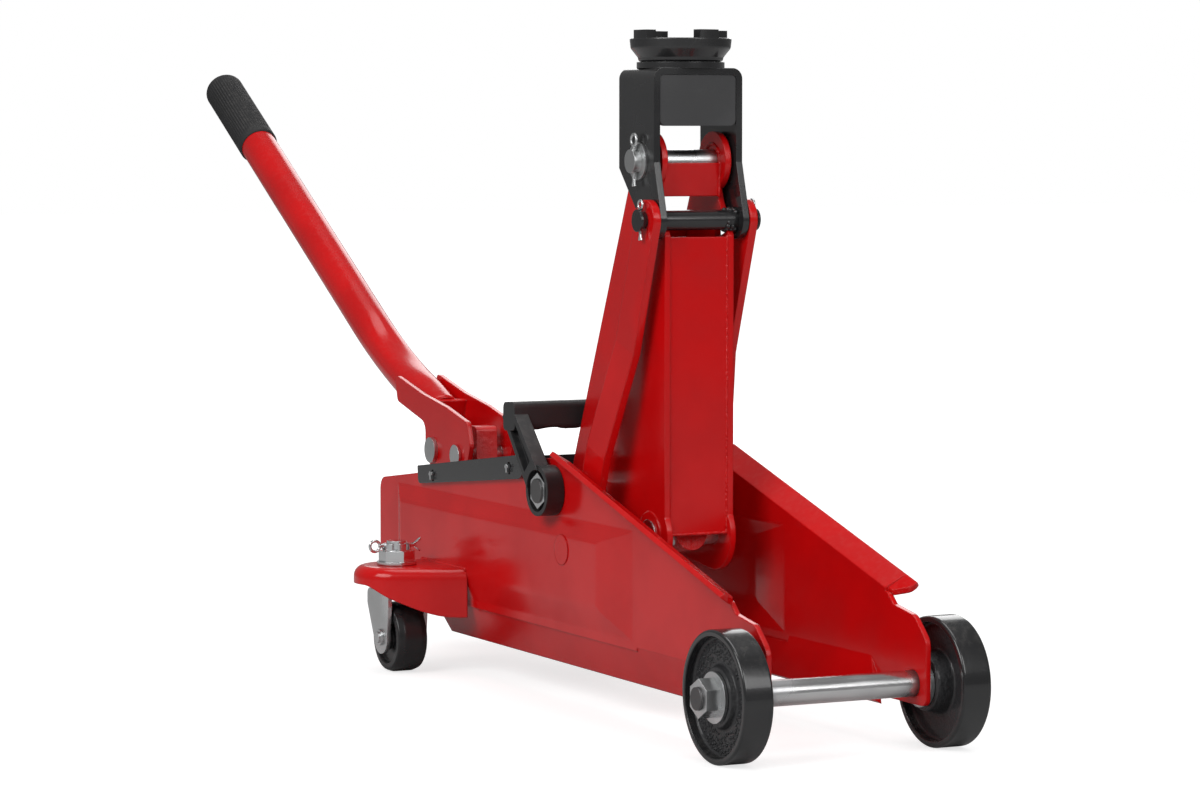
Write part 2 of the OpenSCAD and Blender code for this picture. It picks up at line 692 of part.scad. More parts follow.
module arm_bush() {
  color(steel) placed() ring(p1, main_shaft_d / 2 + 3, main_shaft_d / 2 + fit, -arm_half - 1.5, arm_half + 1.5);
}

module ram_pin() {
  color(steel) placed() {
    bar(rp, 6.4, -arm_half - 0.5, arm_half + 0.5);
    for (s = [-1, 1]) bar(rp, 9, s * (arm_half + 0.82), s * (arm_half + 1.6));
    for (s = [-1, 1]) bar(rp, 6.4, s * (arm_half + 0.4), s * (arm_half + 1));
  }
}

// ---- ram and cylinder, one line from the cylinder's eye to the ram pin -------
cyl_front = ram_len - 101.5;
cyl_start = 21;
module along() {
  translate([eye[0], 0, eye[1]]) rotate([0, -ram_tilt, 0]) children();
}
module ram() {
  color(steel) placed() along() difference() {
    translate([cyl_front - 14, 0, 0]) rotate([0, 90, 0])
      cylinder(d = ram_d, h = ram_len - cyl_front + 14 + 8.6);
    translate([ram_len, 0, 0]) rotate([90, 0, 0])
      cylinder(r = 6.4 + fit, h = 60, center = true);
  }
}

// tail eye, wide enough for the pin to wander in as the arm swings
eye_r = 13.6;
module ram_cylinder() {
  color(paint) placed() along() difference() {
    union() {
      translate([cyl_start - 6, 0, 0]) rotate([0, 90, 0])
        cylinder_solid(cylinder_d / 2, cyl_front - cyl_start + 6 - 8);
      rotate([90, 0, 0]) translate([0, 0, -11]) cylinder_solid(eye_r + 5, 22);
    }
    rotate([90, 0, 0]) translate([0, 0, -20]) cylinder_solid(eye_r, 40);
    translate([cyl_start, 0, 0]) rotate([0, 90, 0]) cylinder_solid(ram_d / 2 + 0.3, 200);
  }
}
module cylinder_solid(r, h) { linear_extrude(h) circle(r = r, $fn = 72); }

module gland_nut() {
  color(grey_black) placed() along() difference() {
    translate([cyl_front - 8 + 0.05, 0, 0]) rotate([0, 90, 0])
      linear_extrude(8) circle(d = 31, $fn = 8);
    translate([cyl_front - 20, 0, 0]) rotate([0, 90, 0]) cylinder_solid(ram_d / 2 + fit, 40);
  }
}

module anchor_pin() {
  color(steel) placed() {
    bar(anchor, 5, -21, 21);
    for (s = [-1, 1]) bar(anchor, 7, s * 20.4, s * 22);
  }
}

// ---- pump -------------------------------------------------------------------
pump_top = 90;
plunger_bore_z = 49.3;
// room below the plunger at rest for its stroke
plunger_foot = plunger_bore_z + 18.9;
module pump_body() {
  color(paint) placed() difference() {
    union() {
      translate([-496, -23, 48.05]) cube([66, 46, pump_top - 48]);
      // lug for the handle pivot
      slab(-7, 7) polygon(rounded([[s1[0] - 12, pump_top - 1, 0], [s1[0] - 12, s1[1] + 18, 6],
        [s1[0] + 9.5, s1[1] + 18.5, 3], [s1[0] + 11, pump_top - 1, 0]]));
      // neck round the plunger
      translate([s2[0], 0, pump_top - 1]) cylinder_solid(9.3, 3);
      // lugs that hold the anchor pin
      for (s = [-1, 1]) slab(s * 14, s * 20)
        polygon(rounded([[-432, 49, 0], [-432, 78, 6], [anchor[0] + 9, anchor[1] + 9, 6],
                         [anchor[0] + 9, 49, 6]]));
    }
    bar(s1, 5 + fit, -20, 20);
    bar(anchor, 5 + fit, -40, 40);
    translate([s2[0], 0, plunger_bore_z]) cylinder_solid(plunger_d / 2 + fit, 60);
    // release valve bore in the rear face
    translate([-500, 14, 66]) rotate([0, 90, 0]) cylinder_solid(5 + fit, 22);
    // relief cuts in the casting's sides
    for (s = [-1, 1]) translate([-470, s * 23 - 2, 58]) cube([26, 4, 22]);
  }
}

module release_valve() {
  color(zinc) placed() {
    translate([-498, 14, 66]) rotate([0, 90, 0]) cylinder_solid(5, 18);
    translate([-504, 14, 66]) rotate([0, 90, 0]) difference() {
      linear_extrude(7.6) circle(d = 15, $fn = 6);
      translate([-1, -20, -1]) cube([2, 40, 3]);
    }
  }
}

roller_r = 7;
module plunger() {
  top = s2[1] - roller_r - 0.6;
  color(steel) placed() translate([s2[0], 0, 0]) {
    translate([0, 0, plunger_foot]) cylinder_solid(plunger_d / 2, top - plunger_foot - 2);
    translate([0, 0, top - 5]) cylinder_solid(8, 5);
  }
}

// ---- handle -----------------------------------------------------------------
module handle_socket() {
  cheek = rounded([
    [-548, 169, 3], [-505, 159, 10], [-468, 153, 8], [-434, 145, 5], [-430, 131, 6],
    [-436, 113.5, 5], [-489, 112.5, 6], [-498.5, 122, 4], [-498.5, 141, 8],
    [-519, 146, 8], [-543, 152, 4]]);
  down = [cos(socket_angle), -sin(socket_angle)];
  up = [sin(socket_angle), cos(socket_angle)];
  web_c = bend + down * (socket_len + gap);
  color(paint) placed() difference() {
    union() {
      for (s = [-1, 1]) slab(s * cheek_in, s * cheek_out) polygon(cheek);
      // cross plate that joins the cheeks just past the tube's end
      slab(-cheek_out, cheek_out) polygon([web_c - up, web_c + up * 11,
                                           web_c + up * 11 + down * 3, web_c - up + down * 3]);
    }
    bar(s1, 5 + fit, -40, 40);
    bar(s2, 6 + fit, -40, 40);
  }
}

// bent tube: two hollow stretches that meet in a low bead on the mitre plane
knee_t = 1;
knee_proud = 0.15;
module on_mitre() {
  translate([bend[0], 0, bend[1]]) rotate([0, (socket_angle + handle_angle) / 2, 0]) children();
}

module tube_run(turn, len, side) {
  back = 30;
  shift = side * knee_t / 5;
  intersection() {
    translate([bend[0], 0, bend[1]]) rotate([0, turn, 0]) translate([0, 0, -back])
      linear_extrude(back + len) difference() {
        circle(r = tube_d / 2, $fn = 72);
        circle(r = tube_d / 2 - tube_wall, $fn = 72);
      }
    on_mitre() translate([side > 0 ? shift : shift - 900, -50, -100]) cube([900, 100, 200]);
  }
}

module handle_tube() {
  color(paint) placed() {
    tube_run(90 + socket_angle, socket_len, 1);
    tube_run(handle_angle - 90, handle_len - grip_cap, -1);
    on_mitre() translate([-knee_t / 2, 0, 0]) rotate([0, 90, 0]) linear_extrude(knee_t)
      difference() {
        circle(r = tube_d / 2 + knee_proud, $fn = 72);
        circle(r = tube_d / 2 - tube_wall - knee_proud, $fn = 72);
      }
  }
}

module handle_grip() {
  r = grip_d / 2;
  color(black) placed() translate([grip_end[0], 0, grip_end[1]])
    rotate([0, 90 + handle_angle, 0]) difference() {
      rotate_extrude($fn = 96) polygon(rounded([
        [0, 0, 0], [r, 0, grip_round], [r, grip_len - 2, 0.8], [r - 0.6, grip_len, 0.5],
        [0, grip_len, 0]]));
      translate([0, 0, grip_cap - 0.2]) cylinder_solid(tube_d / 2 + fit, grip_len);
    }
}

module handle_pivot_pin() {
  color(zinc) placed() {
    bar(s1, 5, -cheek_out - 1, cheek_out + 1);
    for (s = [-1, 1]) bar(s1, 7, s * (cheek_out + 0.3), s * (cheek_out + 2));
  }
}

// pin between the cheeks with the roller that pushes the plunger
module roller_pin() {
  color(zinc) placed() {
    bar(s2, 6, -cheek_out - 1, cheek_out + 1);
    bar(s2, roller_r, -cheek_in + 1, cheek_in - 1);
    for (s = [-1, 1]) bar(s2, 8, s * (cheek_out + 0.05), s * (cheek_out + 2.6));
  }
}

// ---- saddle head ------------------------------------------------------------
head_x = q1[0] - 3.5;
head_top = q1[1] + bracket_rise;
head_front = head_x + bracket_d / 2;
head_rear = head_x - bracket_d / 2;
// outer radius of the strap's bent shoulders
bracket_r = 6;
link_lobe_r = 10.8;
module cheek_outline() {
  rear = [head_rear, q1[1] - 4];
  front = [head_front, q1[1] - 0.5];
  translate(q2) circle(r = link_lobe_r);
  polygon([[head_rear, head_top - bracket_r], rear,
           touch(q2, link_lobe_r - 0.02, rear, 0)[0], q2,
           touch(front, 0, q2, link_lobe_r - 0.02)[1], front, [head_front, head_top - bracket_r]]);
}

module saddle_bracket() {
  ro = bracket_r;
  color(black) placed() difference() {
    union() {
      for (s = [-1, 1]) slab(s * bracket_in, s * bracket_half) cheek_outline();
      // top of the strap, with bent shoulders
      translate([head_rear, -bracket_half + ro, head_top - bracket_t])
        cube([bracket_d, bracket_w - 2 * ro, bracket_t]);
      for (s = [-1, 1]) translate([head_rear, s * (bracket_half - ro), head_top - ro])
        rotate([0, 90, 0]) intersection() {
          difference() {
            cylinder_solid(ro, bracket_d);
            translate([0, 0, -1]) cylinder_solid(ro - bracket_t, bracket_d + 2);
          }
          translate([-ro, s > 0 ? 0 : -ro, 0]) cube([ro, ro, bracket_d]);
        }
      // boss under the saddle
      translate([head_x, 0, head_top - eps]) cylinder_solid(24.5, 3.4);
    }
    bar(q1, head_pin_d / 2 + fit, -60, 60);
    bar(q2, 4.5 + fit, -60, 60);
    translate([head_x, 0, head_top - 30]) cylinder_solid(8 + fit, 60);
  }
}

module bracket_stiffener() {
  z0 = q1[1] + 19.5;
  color(grey_black) placed()
    translate([head_front - 3.6, 0, 0]) rotate([90, 0, 90]) linear_extrude(3.2)
      polygon(rounded([[-bracket_in + fit, z0, 3.5], [bracket_in - fit, z0, 3.5],
                       [bracket_in - fit, head_top - bracket_t - fit, 2.5],
                       [-bracket_in + fit, head_top - bracket_t - fit, 2.5]]));
}

module head_pin() {
  color(zinc) placed() difference() {
    bar(q1, head_pin_d / 2, -bracket_half - 6, bracket_half + 6);
    for (s = [-1, 1]) translate([q1[0], s * (bracket_half + 3.2), q1[1] - 20])
      cylinder_solid(1.35, 40);
  }
}

module head_washers() {
  color(zinc) placed() for (s = [-1, 1])
    ring(q1, 10.5, head_pin_d / 2 + fit, s * (bracket_half + 0.05), s * (bracket_half + 1.6));
}

module head_split_pins() {
  color(zinc) placed() for (s = [-1, 1])
    split_pin(q1, s * (bracket_half + 3.2), 2.4, 9, 9.5, 13);
}

module link_pin() {
  color(black) placed() difference() {
    union() {
      bar(q2, 4.5, -rod_out_top - 3.6, rod_out_top + 3.6);
      for (s = [-1, 1]) bar(q2, 6.2, s * (rod_out_top + 3.4), s * (rod_out_top + 4.8));
    }
    for (s = [-1, 1]) translate([q2[0], s * (rod_out_top + 2.4), q2[1] - 20])
      cylinder_solid(1.05, 40);
  }
}

module link_spacer() {
  color(black) placed() ring(q2, bar_r + 0.6, 4.5 + fit, -bracket_in + 0.05, bracket_in - 0.05);
}

module link_split_pin() {
  color(zinc) placed() for (s = [-1, 1])
    split_pin(q2, s * (rod_out_top + 2.4), 1.9, 6.5, 7.5, 20);
}

// shallow cup with four lugs on its rim and a stem in the bracket
saddle_z = head_top + 3.6;
module saddle() {
  r = saddle_d / 2;
  color(black) placed() translate([head_x, 0, saddle_z]) {
    rotate_extrude($fn = 96) polygon(rounded([
      [0, 0, 0], [r - 5.2, 0, 1.5], [r - 4.6, 2.4, 1], [r - 0.6, 7.5, 3], [r, saddle_h, 0.8],
      [r - 4, saddle_h, 0.8], [r - 6.5, saddle_h - 5.5, 1.5], [0, saddle_h - 5.5, 0]]));
    // lugs, each a rim segment
    for (a = [0:90:270]) rotate([0, 0, a + 8]) intersection() {
      translate([r - 7.4, -6.2, saddle_h - 3]) cube([7.1, 12.4, 3 + saddle_lug_h]);
      cylinder_solid(r - 0.3, saddle_h + 20);
    }
    translate([0, 0, -12]) cylinder_solid(8, 13);
  }
}

// ---- tie rods ---------------------------------------------------------------
rod_len = norm(q2 - p2);
rod_tilt = atan2(q2[1] - p2[1], q2[0] - p2[0]);
module tie_rod(side) {
  bend0 = rod_len * 0.30;
  bend1 = rod_len * 0.62;
  yl = -rod_in_low;
  yt = -rod_in_top;
  color(paint) placed() on_side(side)
    translate([p2[0], 0, p2[1]]) rotate([0, -rod_tilt, 0]) difference() {
      intersection() {
        translate([0, 0, -rod_w / 2]) linear_extrude(rod_w)
          polygon([[-20, yl], [bend0, yl], [bend1, yt], [rod_len + 20, yt],
                   [rod_len + 20, yt - rod_t], [bend1, yt - rod_t], [bend0, yl - rod_t],
                   [-20, yl - rod_t]]);
        slab(-60, 0) union() {
          circle(d = rod_w);
          translate([rod_len, 0]) circle(d = rod_w);
          translate([0, -rod_w / 2]) square([rod_len, rod_w]);
        }
      }
      bar([0, 0], 5 + fit, -80, 0);
      bar([rod_len, 0], 4.5 + fit, -80, 0);
    }
}
module tie_rod_right() { tie_rod(-1); }
module tie_rod_left() { tie_rod(1); }

side_plate_right();
side_plate_left();
rear_floor_plate();
front_axle();
axle_spacers();
axle_washers();
axle_nuts();
front_wheel_right();
front_wheel_left();
caster_ear_right();
caster_ear_left();
caster_yoke_right();
caster_yoke_left();
caster_kingpin_right();
caster_kingpin_left();
caster_nut_right();
caster_nut_left();
caster_split_pin_right();
caster_split_pin_left();
caster_axle_right();
caster_axle_left();
caster_wheel_right();
caster_wheel_left();
main_shaft();
shaft_nuts();
tie_rod_studs();
top_cover();
cover_clips();
carry_handle();
pump_body();
anchor_pin();
release_valve();
arm_plate_right();
arm_plate_left();
arm_front_plate();
arm_upper_plate();
arm_rear_plate();
arm_bush();
ram_pin();
ram();
ram_cylinder();
gland_nut();
saddle_bracket();
bracket_stiffener();
head_pin();
head_washers();
head_split_pins();
link_pin();
link_spacer();
link_split_pin();
saddle();
tie_rod_right();
tie_rod_left();
handle_socket();
handle_tube();
handle_grip();
handle_pivot_pin();
roller_pin();
plunger();
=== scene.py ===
"""Looks of a compact trolley jack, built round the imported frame.

Finishes, weld seams, pressed caster ears, rough wheel webs, the bent tube and the ribbed grip.
"""

import json
import logging
import math
from dataclasses import dataclass
from enum import Enum
from typing import Any, Callable, Iterable, Sequence

import bmesh
import bpy
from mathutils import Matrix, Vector


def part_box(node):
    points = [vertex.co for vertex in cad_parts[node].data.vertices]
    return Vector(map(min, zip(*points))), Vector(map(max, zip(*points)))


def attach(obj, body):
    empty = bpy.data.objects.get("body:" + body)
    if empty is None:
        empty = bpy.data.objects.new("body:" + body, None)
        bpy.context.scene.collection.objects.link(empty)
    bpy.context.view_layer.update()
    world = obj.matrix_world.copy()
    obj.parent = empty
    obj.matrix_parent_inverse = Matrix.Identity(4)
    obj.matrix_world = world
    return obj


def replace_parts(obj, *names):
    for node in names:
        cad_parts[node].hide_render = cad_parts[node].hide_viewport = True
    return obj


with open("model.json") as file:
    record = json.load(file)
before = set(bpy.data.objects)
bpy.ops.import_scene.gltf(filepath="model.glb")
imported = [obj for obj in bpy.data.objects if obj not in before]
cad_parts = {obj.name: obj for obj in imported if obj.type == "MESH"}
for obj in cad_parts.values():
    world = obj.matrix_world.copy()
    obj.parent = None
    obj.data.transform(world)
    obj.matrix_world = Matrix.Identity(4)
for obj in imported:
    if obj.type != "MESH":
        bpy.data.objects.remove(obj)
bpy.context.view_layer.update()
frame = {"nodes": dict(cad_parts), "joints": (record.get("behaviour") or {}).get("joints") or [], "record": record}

LOG = logging.getLogger("jack")
MM = 0.001
Colour = tuple[float, float, float]
RED: Colour = (0.66, 0.004, 0.005)
RED_SHADE: Colour = (0.58, 0.003, 0.004)
DUST: Colour = (0.42, 0.39, 0.36)
BURNT: Colour = (0.045, 0.04, 0.04)
CAST_BLACK: Colour = (0.02, 0.02, 0.022)
WHITE = (1.0, 1.0, 1.0, 1.0)
FLOOR_GREY = (0.5, 0.5, 0.5, 1.0)
COAT_ROUGHNESS = 0.06
PAINTED_REACH = (27 * MM, 29 * MM)
PAINTED_GRAIN = 1.2 * MM
BURNT_REACH = (41 * MM, 49 * MM)
BURNT_RAGGED = 6 * MM
WEB_REACH = (30.6 * MM, 31.4 * MM)
WEB_GRAIN = 0.9 * MM
SHARP_ANGLE = math.radians(32)


# ---- node graphs ------------------------------------------------------------
class Graph:
    """A thin layer over a node tree that adds nodes and joins their sockets."""

    def __init__(self, tree: bpy.types.NodeTree) -> None:
        """Keeps the tree and empties it.

        Args:
            tree: the tree to write in.
        """
        self.tree = tree
        tree.nodes.clear()

    def add(self, kind: str, inputs: dict[Any, Any] | None = None,
            **settings: Any) -> bpy.types.Node:
        """Adds a node, sets its properties, and sets or links its inputs.

        Args:
            kind: the node's type name.
            inputs: socket name or index to a constant value, or to another node's output socket.
            settings: properties of the node.

        Returns:
            The new node.
        """
        node = self.tree.nodes.new(kind)
        for name, value in settings.items():
            setattr(node, name, value)
        for key, value in (inputs or {}).items():
            if isinstance(value, bpy.types.NodeSocket):
                self.tree.links.new(value, node.inputs[key])
            else:
                node.inputs[key].default_value = value
        return node

    def math(self, operation: str, *terms: Any, clamp: bool = False) -> bpy.types.NodeSocket:
        """Adds a Math node.

        Args:
            operation: the operation's name.
            terms: constants or output sockets.
            clamp: keeps the result between 0 and 1.

        Returns:
            The result's socket.
        """
        kind = "ShaderNodeMath"
        node = self.add(kind, dict(enumerate(terms)), operation=operation, use_clamp=clamp)
        return node.outputs[0]

    def ramp(self, value: bpy.types.NodeSocket, low: float, high: float,
             out_low: float = 0.0, out_high: float = 1.0) -> bpy.types.NodeSocket:
        """Maps a stretch of a value smoothly onto another.

        Args:
            value: the socket to read.
            low: value that gives out_low.
            high: value that gives out_high.
            out_low: result at and before low.
            out_high: result at and after high.

        Returns:
            The result's socket.
        """
        node = self.add("ShaderNodeMapRange", {0: value, 1: low, 2: high, 3: out_low, 4: out_high},
                        interpolation_type="SMOOTHSTEP")
        return node.outputs[0]

    def mix(self, factor: Any, first: Any, second: Any) -> bpy.types.NodeSocket:
        """Mixes two colours.

        Args:
            factor: share of the second colour.
            first: colour or socket.
            second: colour or socket.

        Returns:
            The mixed colour's socket.
        """
        node = self.add("ShaderNodeMix", data_type="RGBA")
        for key, value in ((0, factor), (6, first), (7, second)):
            if isinstance(value, bpy.types.NodeSocket):
                self.tree.links.new(value, node.inputs[key])
            else:
                node.inputs[key].default_value = value if key == 0 else (*value, 1.0)
        return node.outputs[2]


def new_group(name: str, inputs: dict[str, float], outputs: dict[str, str],
              build: Callable[[Graph, bpy.types.Node], dict[str, bpy.types.NodeSocket]],
              ) -> bpy.types.NodeTree:
    """Makes a shader group that several finishes share.

    Args:
        name: the group's name.
        inputs: input name to its default value.
        outputs: output name to its socket type.
        build: writes the group's nodes and returns output name to socket.

    Returns:
        The finished group.
    """
    tree = bpy.data.node_groups.new(name, "ShaderNodeTree")
    graph = Graph(tree)
    for label, value in inputs.items():
        socket = tree.interface.new_socket(name=label, in_out="INPUT",
                                           socket_type="NodeSocketFloat")
        socket.default_value = value
    for label, kind in outputs.items():
        tree.interface.new_socket(name=label, in_out="OUTPUT", socket_type=kind)
    results = build(graph, graph.add("NodeGroupInput"))
    graph.add("NodeGroupOutput", results)
    return tree


def soft_edges(graph: Graph, given: bpy.types.Node) -> dict[str, bpy.types.NodeSocket]:
    """Rounds shaded edges over a radius and marks broken patches of them for a painted highlight.

    Args:
        graph: the group's graph.
        given: the group's input node, with Radius and the strength of the painted edge highlight.

    Returns:
        Normal, and Edge from 0 on flats to 1 on edges that get the painted highlight.
    """
    bevel = graph.add("ShaderNodeBevel", {"Radius": given.outputs["Radius"]}, samples=6)
    flat = graph.add("ShaderNodeNewGeometry").outputs["Normal"]
    dot = graph.add("ShaderNodeVectorMath", {0: bevel.outputs[0], 1: flat}, operation="DOT_PRODUCT")
    turn = graph.math("SUBTRACT", 1.0, dot.outputs["Value"])
    place = graph.add("ShaderNodeTexCoord").outputs["Object"]
    patches = graph.add("ShaderNodeTexNoise", {"Vector": place, "Scale": 130.0, "Detail": 4.0})
    broken = graph.ramp(patches.outputs[0], 0.42, 0.66)
    # Painted highlight: edges lightened where the rounded normal turns, broken into patches by noise.
    painted_edge_highlight = graph.math("MULTIPLY", graph.math("MULTIPLY", turn, 6.0, clamp=True), broken)
    return {"Normal": bevel.outputs[0],
            "Edge": graph.math("MULTIPLY", painted_edge_highlight, given.outputs["Highlight"], clamp=True)}


def grain(graph: Graph, given: bpy.types.Node) -> dict[str, bpy.types.NodeSocket]:
    """Fine and broad unevenness on the object's own coordinates.

    Args:
        graph: the group's graph.
        given: the group's input node, with Scale and Lie, the stretch along the bar.

    Returns:
        Height of the fine grain and Patch, a broad variation from 0 to 1.
    """
    place = graph.add("ShaderNodeTexCoord").outputs["Object"]
    along = graph.add("ShaderNodeCombineXYZ", {0: 1.0, 1: given.outputs["Lie"], 2: 1.0}).outputs[0]
    laid = graph.add("ShaderNodeVectorMath", {0: place, 1: along}, operation="MULTIPLY").outputs[0]
    fine = graph.add("ShaderNodeTexNoise", {"Vector": laid, "Scale": given.outputs["Scale"],
                                            "Detail": 5.0, "Roughness": 0.6})
    broad = graph.add("ShaderNodeTexNoise", {"Vector": place, "Scale": 22.0, "Detail": 3.0})
    return {"Height": fine.outputs[0], "Patch": graph.ramp(broad.outputs[0], 0.35, 0.68)}


def dust(graph: Graph, given: bpy.types.Node) -> dict[str, bpy.types.NodeSocket]:
    """Fine dust that settles on what faces up.

    Args:
        graph: the group's graph.
        given: the group's input node, with Amount.

    Returns:
        Mask, from 0 where clean.
    """
    coordinates = graph.add("ShaderNodeTexCoord")
    up = graph.add("ShaderNodeSeparateXYZ", {0: coordinates.outputs["Normal"]}).outputs[2]
    specks = graph.add("ShaderNodeTexNoise", {"Vector": coordinates.outputs["Object"],
                                              "Scale": 260.0, "Detail": 6.0})
    lying = graph.math("MULTIPLY", graph.ramp(up, 0.3, 1.0),
                       graph.ramp(specks.outputs[0], 0.4, 0.75))
    return {"Mask": graph.math("MULTIPLY", lying, given.outputs["Amount"], clamp=True)}


@dataclass(frozen=True)
class SharedGroups:
    """The effects that finishes share."""

    edges: bpy.types.NodeTree
    grain: bpy.types.NodeTree
    dust: bpy.types.NodeTree

    @classmethod
    def make(cls) -> "SharedGroups":
        """Builds each shared effect once.

        Returns:
            The groups.
        """
        return cls(
            new_group("Soft edges", {"Radius": 0.0006, "Highlight": 0.2},
                      {"Normal": "NodeSocketVector", "Edge": "NodeSocketFloat"}, soft_edges),
            new_group("Grain", {"Scale": 500.0, "Lie": 1.0},
                      {"Height": "NodeSocketFloat", "Patch": "NodeSocketFloat"}, grain),
            new_group("Dust", {"Amount": 0.1}, {"Mask": "NodeSocketFloat"}, dust))


GROUPS = SharedGroups.make()


# ---- finishes ---------------------------------------------------------------
class Mark(Enum):
    """A marking that only one finish has."""

    NONE = "none"
    WELD_HEAT = "weld_heat"
    CAST_WEB = "cast_web"
    PAINTED_END = "painted_end"


@dataclass(frozen=True)
class Finish:
    """A surface finish, from which a material is made."""

    name: str
    colour: Colour
    shade: Colour
    roughness: float
    rough_spread: float = 0.08
    metallic: float = 0.0
    coat: float = 0.0
    gloss: float = 0.5
    edge_radius: float = 0.6 * MM
    # Strength and lighter colour of the painted highlight on broken patches of the edges.
    edge_highlight: float = 0.12
    edge_highlight_colour: Colour = (0.5, 0.5, 0.5)
    grain_scale: float = 500.0
    grain_lie: float = 1.0
    grain_depth: float = 0.02 * MM
    dusty: float = 0.08
    mark: Mark = Mark.NONE
    mark_centre: tuple[float, float, float] = (0.0, 0.0, 0.0)

    def material(self) -> bpy.types.Material:
        """Builds the material's node tree.

        Returns:
            The material.
        """
        made = bpy.data.materials.new(self.name)
        made.use_nodes = True
        graph = Graph(made.node_tree)
        shader = graph.add("ShaderNodeBsdfPrincipled", {
            "Metallic": self.metallic, "Specular IOR Level": self.gloss,
            "Coat Weight": self.coat, "Coat Roughness": COAT_ROUGHNESS})
        edges = graph.add("ShaderNodeGroup", node_tree=GROUPS.edges)
        edges.inputs["Radius"].default_value = self.edge_radius
        edges.inputs["Highlight"].default_value = self.edge_highlight
        surface = graph.add("ShaderNodeGroup", node_tree=GROUPS.grain)
        surface.inputs["Scale"].default_value = self.grain_scale
        surface.inputs["Lie"].default_value = self.grain_lie
        settled = graph.add("ShaderNodeGroup", node_tree=GROUPS.dust)
        settled.inputs["Amount"].default_value = self.dusty
        patch, height = surface.outputs["Patch"], surface.outputs["Height"]
        colour = graph.mix(patch, self.colour, self.shade)
        # Painted highlight: a lighter copy of the colour on broken patches of the edges.
        colour = graph.mix(edges.outputs["Edge"], colour, self.edge_highlight_colour)
        colour = graph.mix(settled.outputs["Mask"], colour, DUST)
        low = self.roughness - self.rough_spread / 2
        rough = graph.ramp(patch, 0.0, 1.0, low, low + self.rough_spread)
        depth: Any = self.grain_depth
        if self.mark is Mark.PAINTED_END:
            bare = self.away_from_mark(graph)
            colour = graph.mix(bare, RED, colour)
            painted = graph.math("SUBTRACT", 1.0, bare)
            depth = graph.math("ADD", self.grain_depth,
                               graph.math("MULTIPLY", painted, PAINTED_GRAIN))
            graph.tree.links.new(bare, shader.inputs["Metallic"])
        elif self.mark is not Mark.NONE:
            colour, rough, depth = self.marked(graph, colour, rough)
        graph.tree.links.new(colour, shader.inputs["Base Color"])
        graph.tree.links.new(rough, shader.inputs["Roughness"])
        lift = graph.math("MULTIPLY", height, depth)
        bump = graph.add("ShaderNodeBump", {"Strength": 1.0, "Distance": 1.0, "Height": lift,
                                            "Normal": edges.outputs["Normal"]})
        graph.tree.links.new(bump.outputs[0], shader.inputs["Normal"])
        graph.add("ShaderNodeOutputMaterial", {"Surface": shader.outputs[0]})
        return made

    def away_from_mark(self, graph: Graph) -> bpy.types.NodeSocket:
        """Mask of what lies beyond the painted end.

        Args:
            graph: the material's graph.

        Returns:
            0 near the mark's centre and 1 further off.
        """
        place = graph.add("ShaderNodeTexCoord").outputs["Object"]
        apart = graph.add("ShaderNodeVectorMath", {0: place, 1: self.mark_centre},
                          operation="DISTANCE").outputs["Value"]
        return graph.ramp(apart, *PAINTED_REACH)

    def marked(self, graph: Graph, colour: bpy.types.NodeSocket,
               rough: bpy.types.NodeSocket) -> tuple[Any, Any, Any]:
        """Adds the finish's own marking.

        Args:
            graph: the material's graph.
            colour: base colour so far.
            rough: roughness so far.

        Returns:
            Colour, roughness and grain depth with the marking.
        """
        place = graph.add("ShaderNodeTexCoord").outputs["Object"]
        shifted = graph.add("ShaderNodeVectorMath", {0: place, 1: self.mark_centre},
                            operation="SUBTRACT").outputs[0]
        apart = graph.add("ShaderNodeSeparateXYZ", {0: shifted})
        if self.mark is Mark.WELD_HEAT:
            side = graph.math("ABSOLUTE", apart.outputs[1])
            ragged = graph.add("ShaderNodeTexNoise",
                               {"Vector": place, "Scale": 180.0, "Detail": 4.0})
            reach = graph.math("ADD", side,
                               graph.math("MULTIPLY", ragged.outputs[0], BURNT_RAGGED))
            burnt = graph.ramp(reach, *BURNT_REACH, 0.0, 0.8)
            return (graph.mix(burnt, colour, BURNT),
                    graph.math("ADD", rough, graph.math("MULTIPLY", burnt, 0.25)), self.grain_depth)
        flat = graph.add("ShaderNodeCombineXYZ",
                         {0: apart.outputs[0], 2: apart.outputs[2]}).outputs[0]
        radius = graph.add("ShaderNodeVectorMath", {0: flat}, operation="LENGTH").outputs["Value"]
        web = graph.math("SUBTRACT", 1.0, graph.ramp(radius, *WEB_REACH))
        return (graph.mix(web, colour, CAST_BLACK),
                graph.math("ADD", rough, graph.math("MULTIPLY", web, 0.28)),
                graph.math("ADD", self.grain_depth, graph.math("MULTIPLY", web, WEB_GRAIN)))


def joint_place(name: str) -> Vector:
    """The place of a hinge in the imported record, in metres.

    Args:
        name: the joint's name.

    Returns:
        The point on its axis.
    """
    found = next(joint for joint in frame["joints"] if joint["name"] == name)
    return Vector(found["pos_m"])


FRONT_AXLE = joint_place("front_wheel_right_spin")

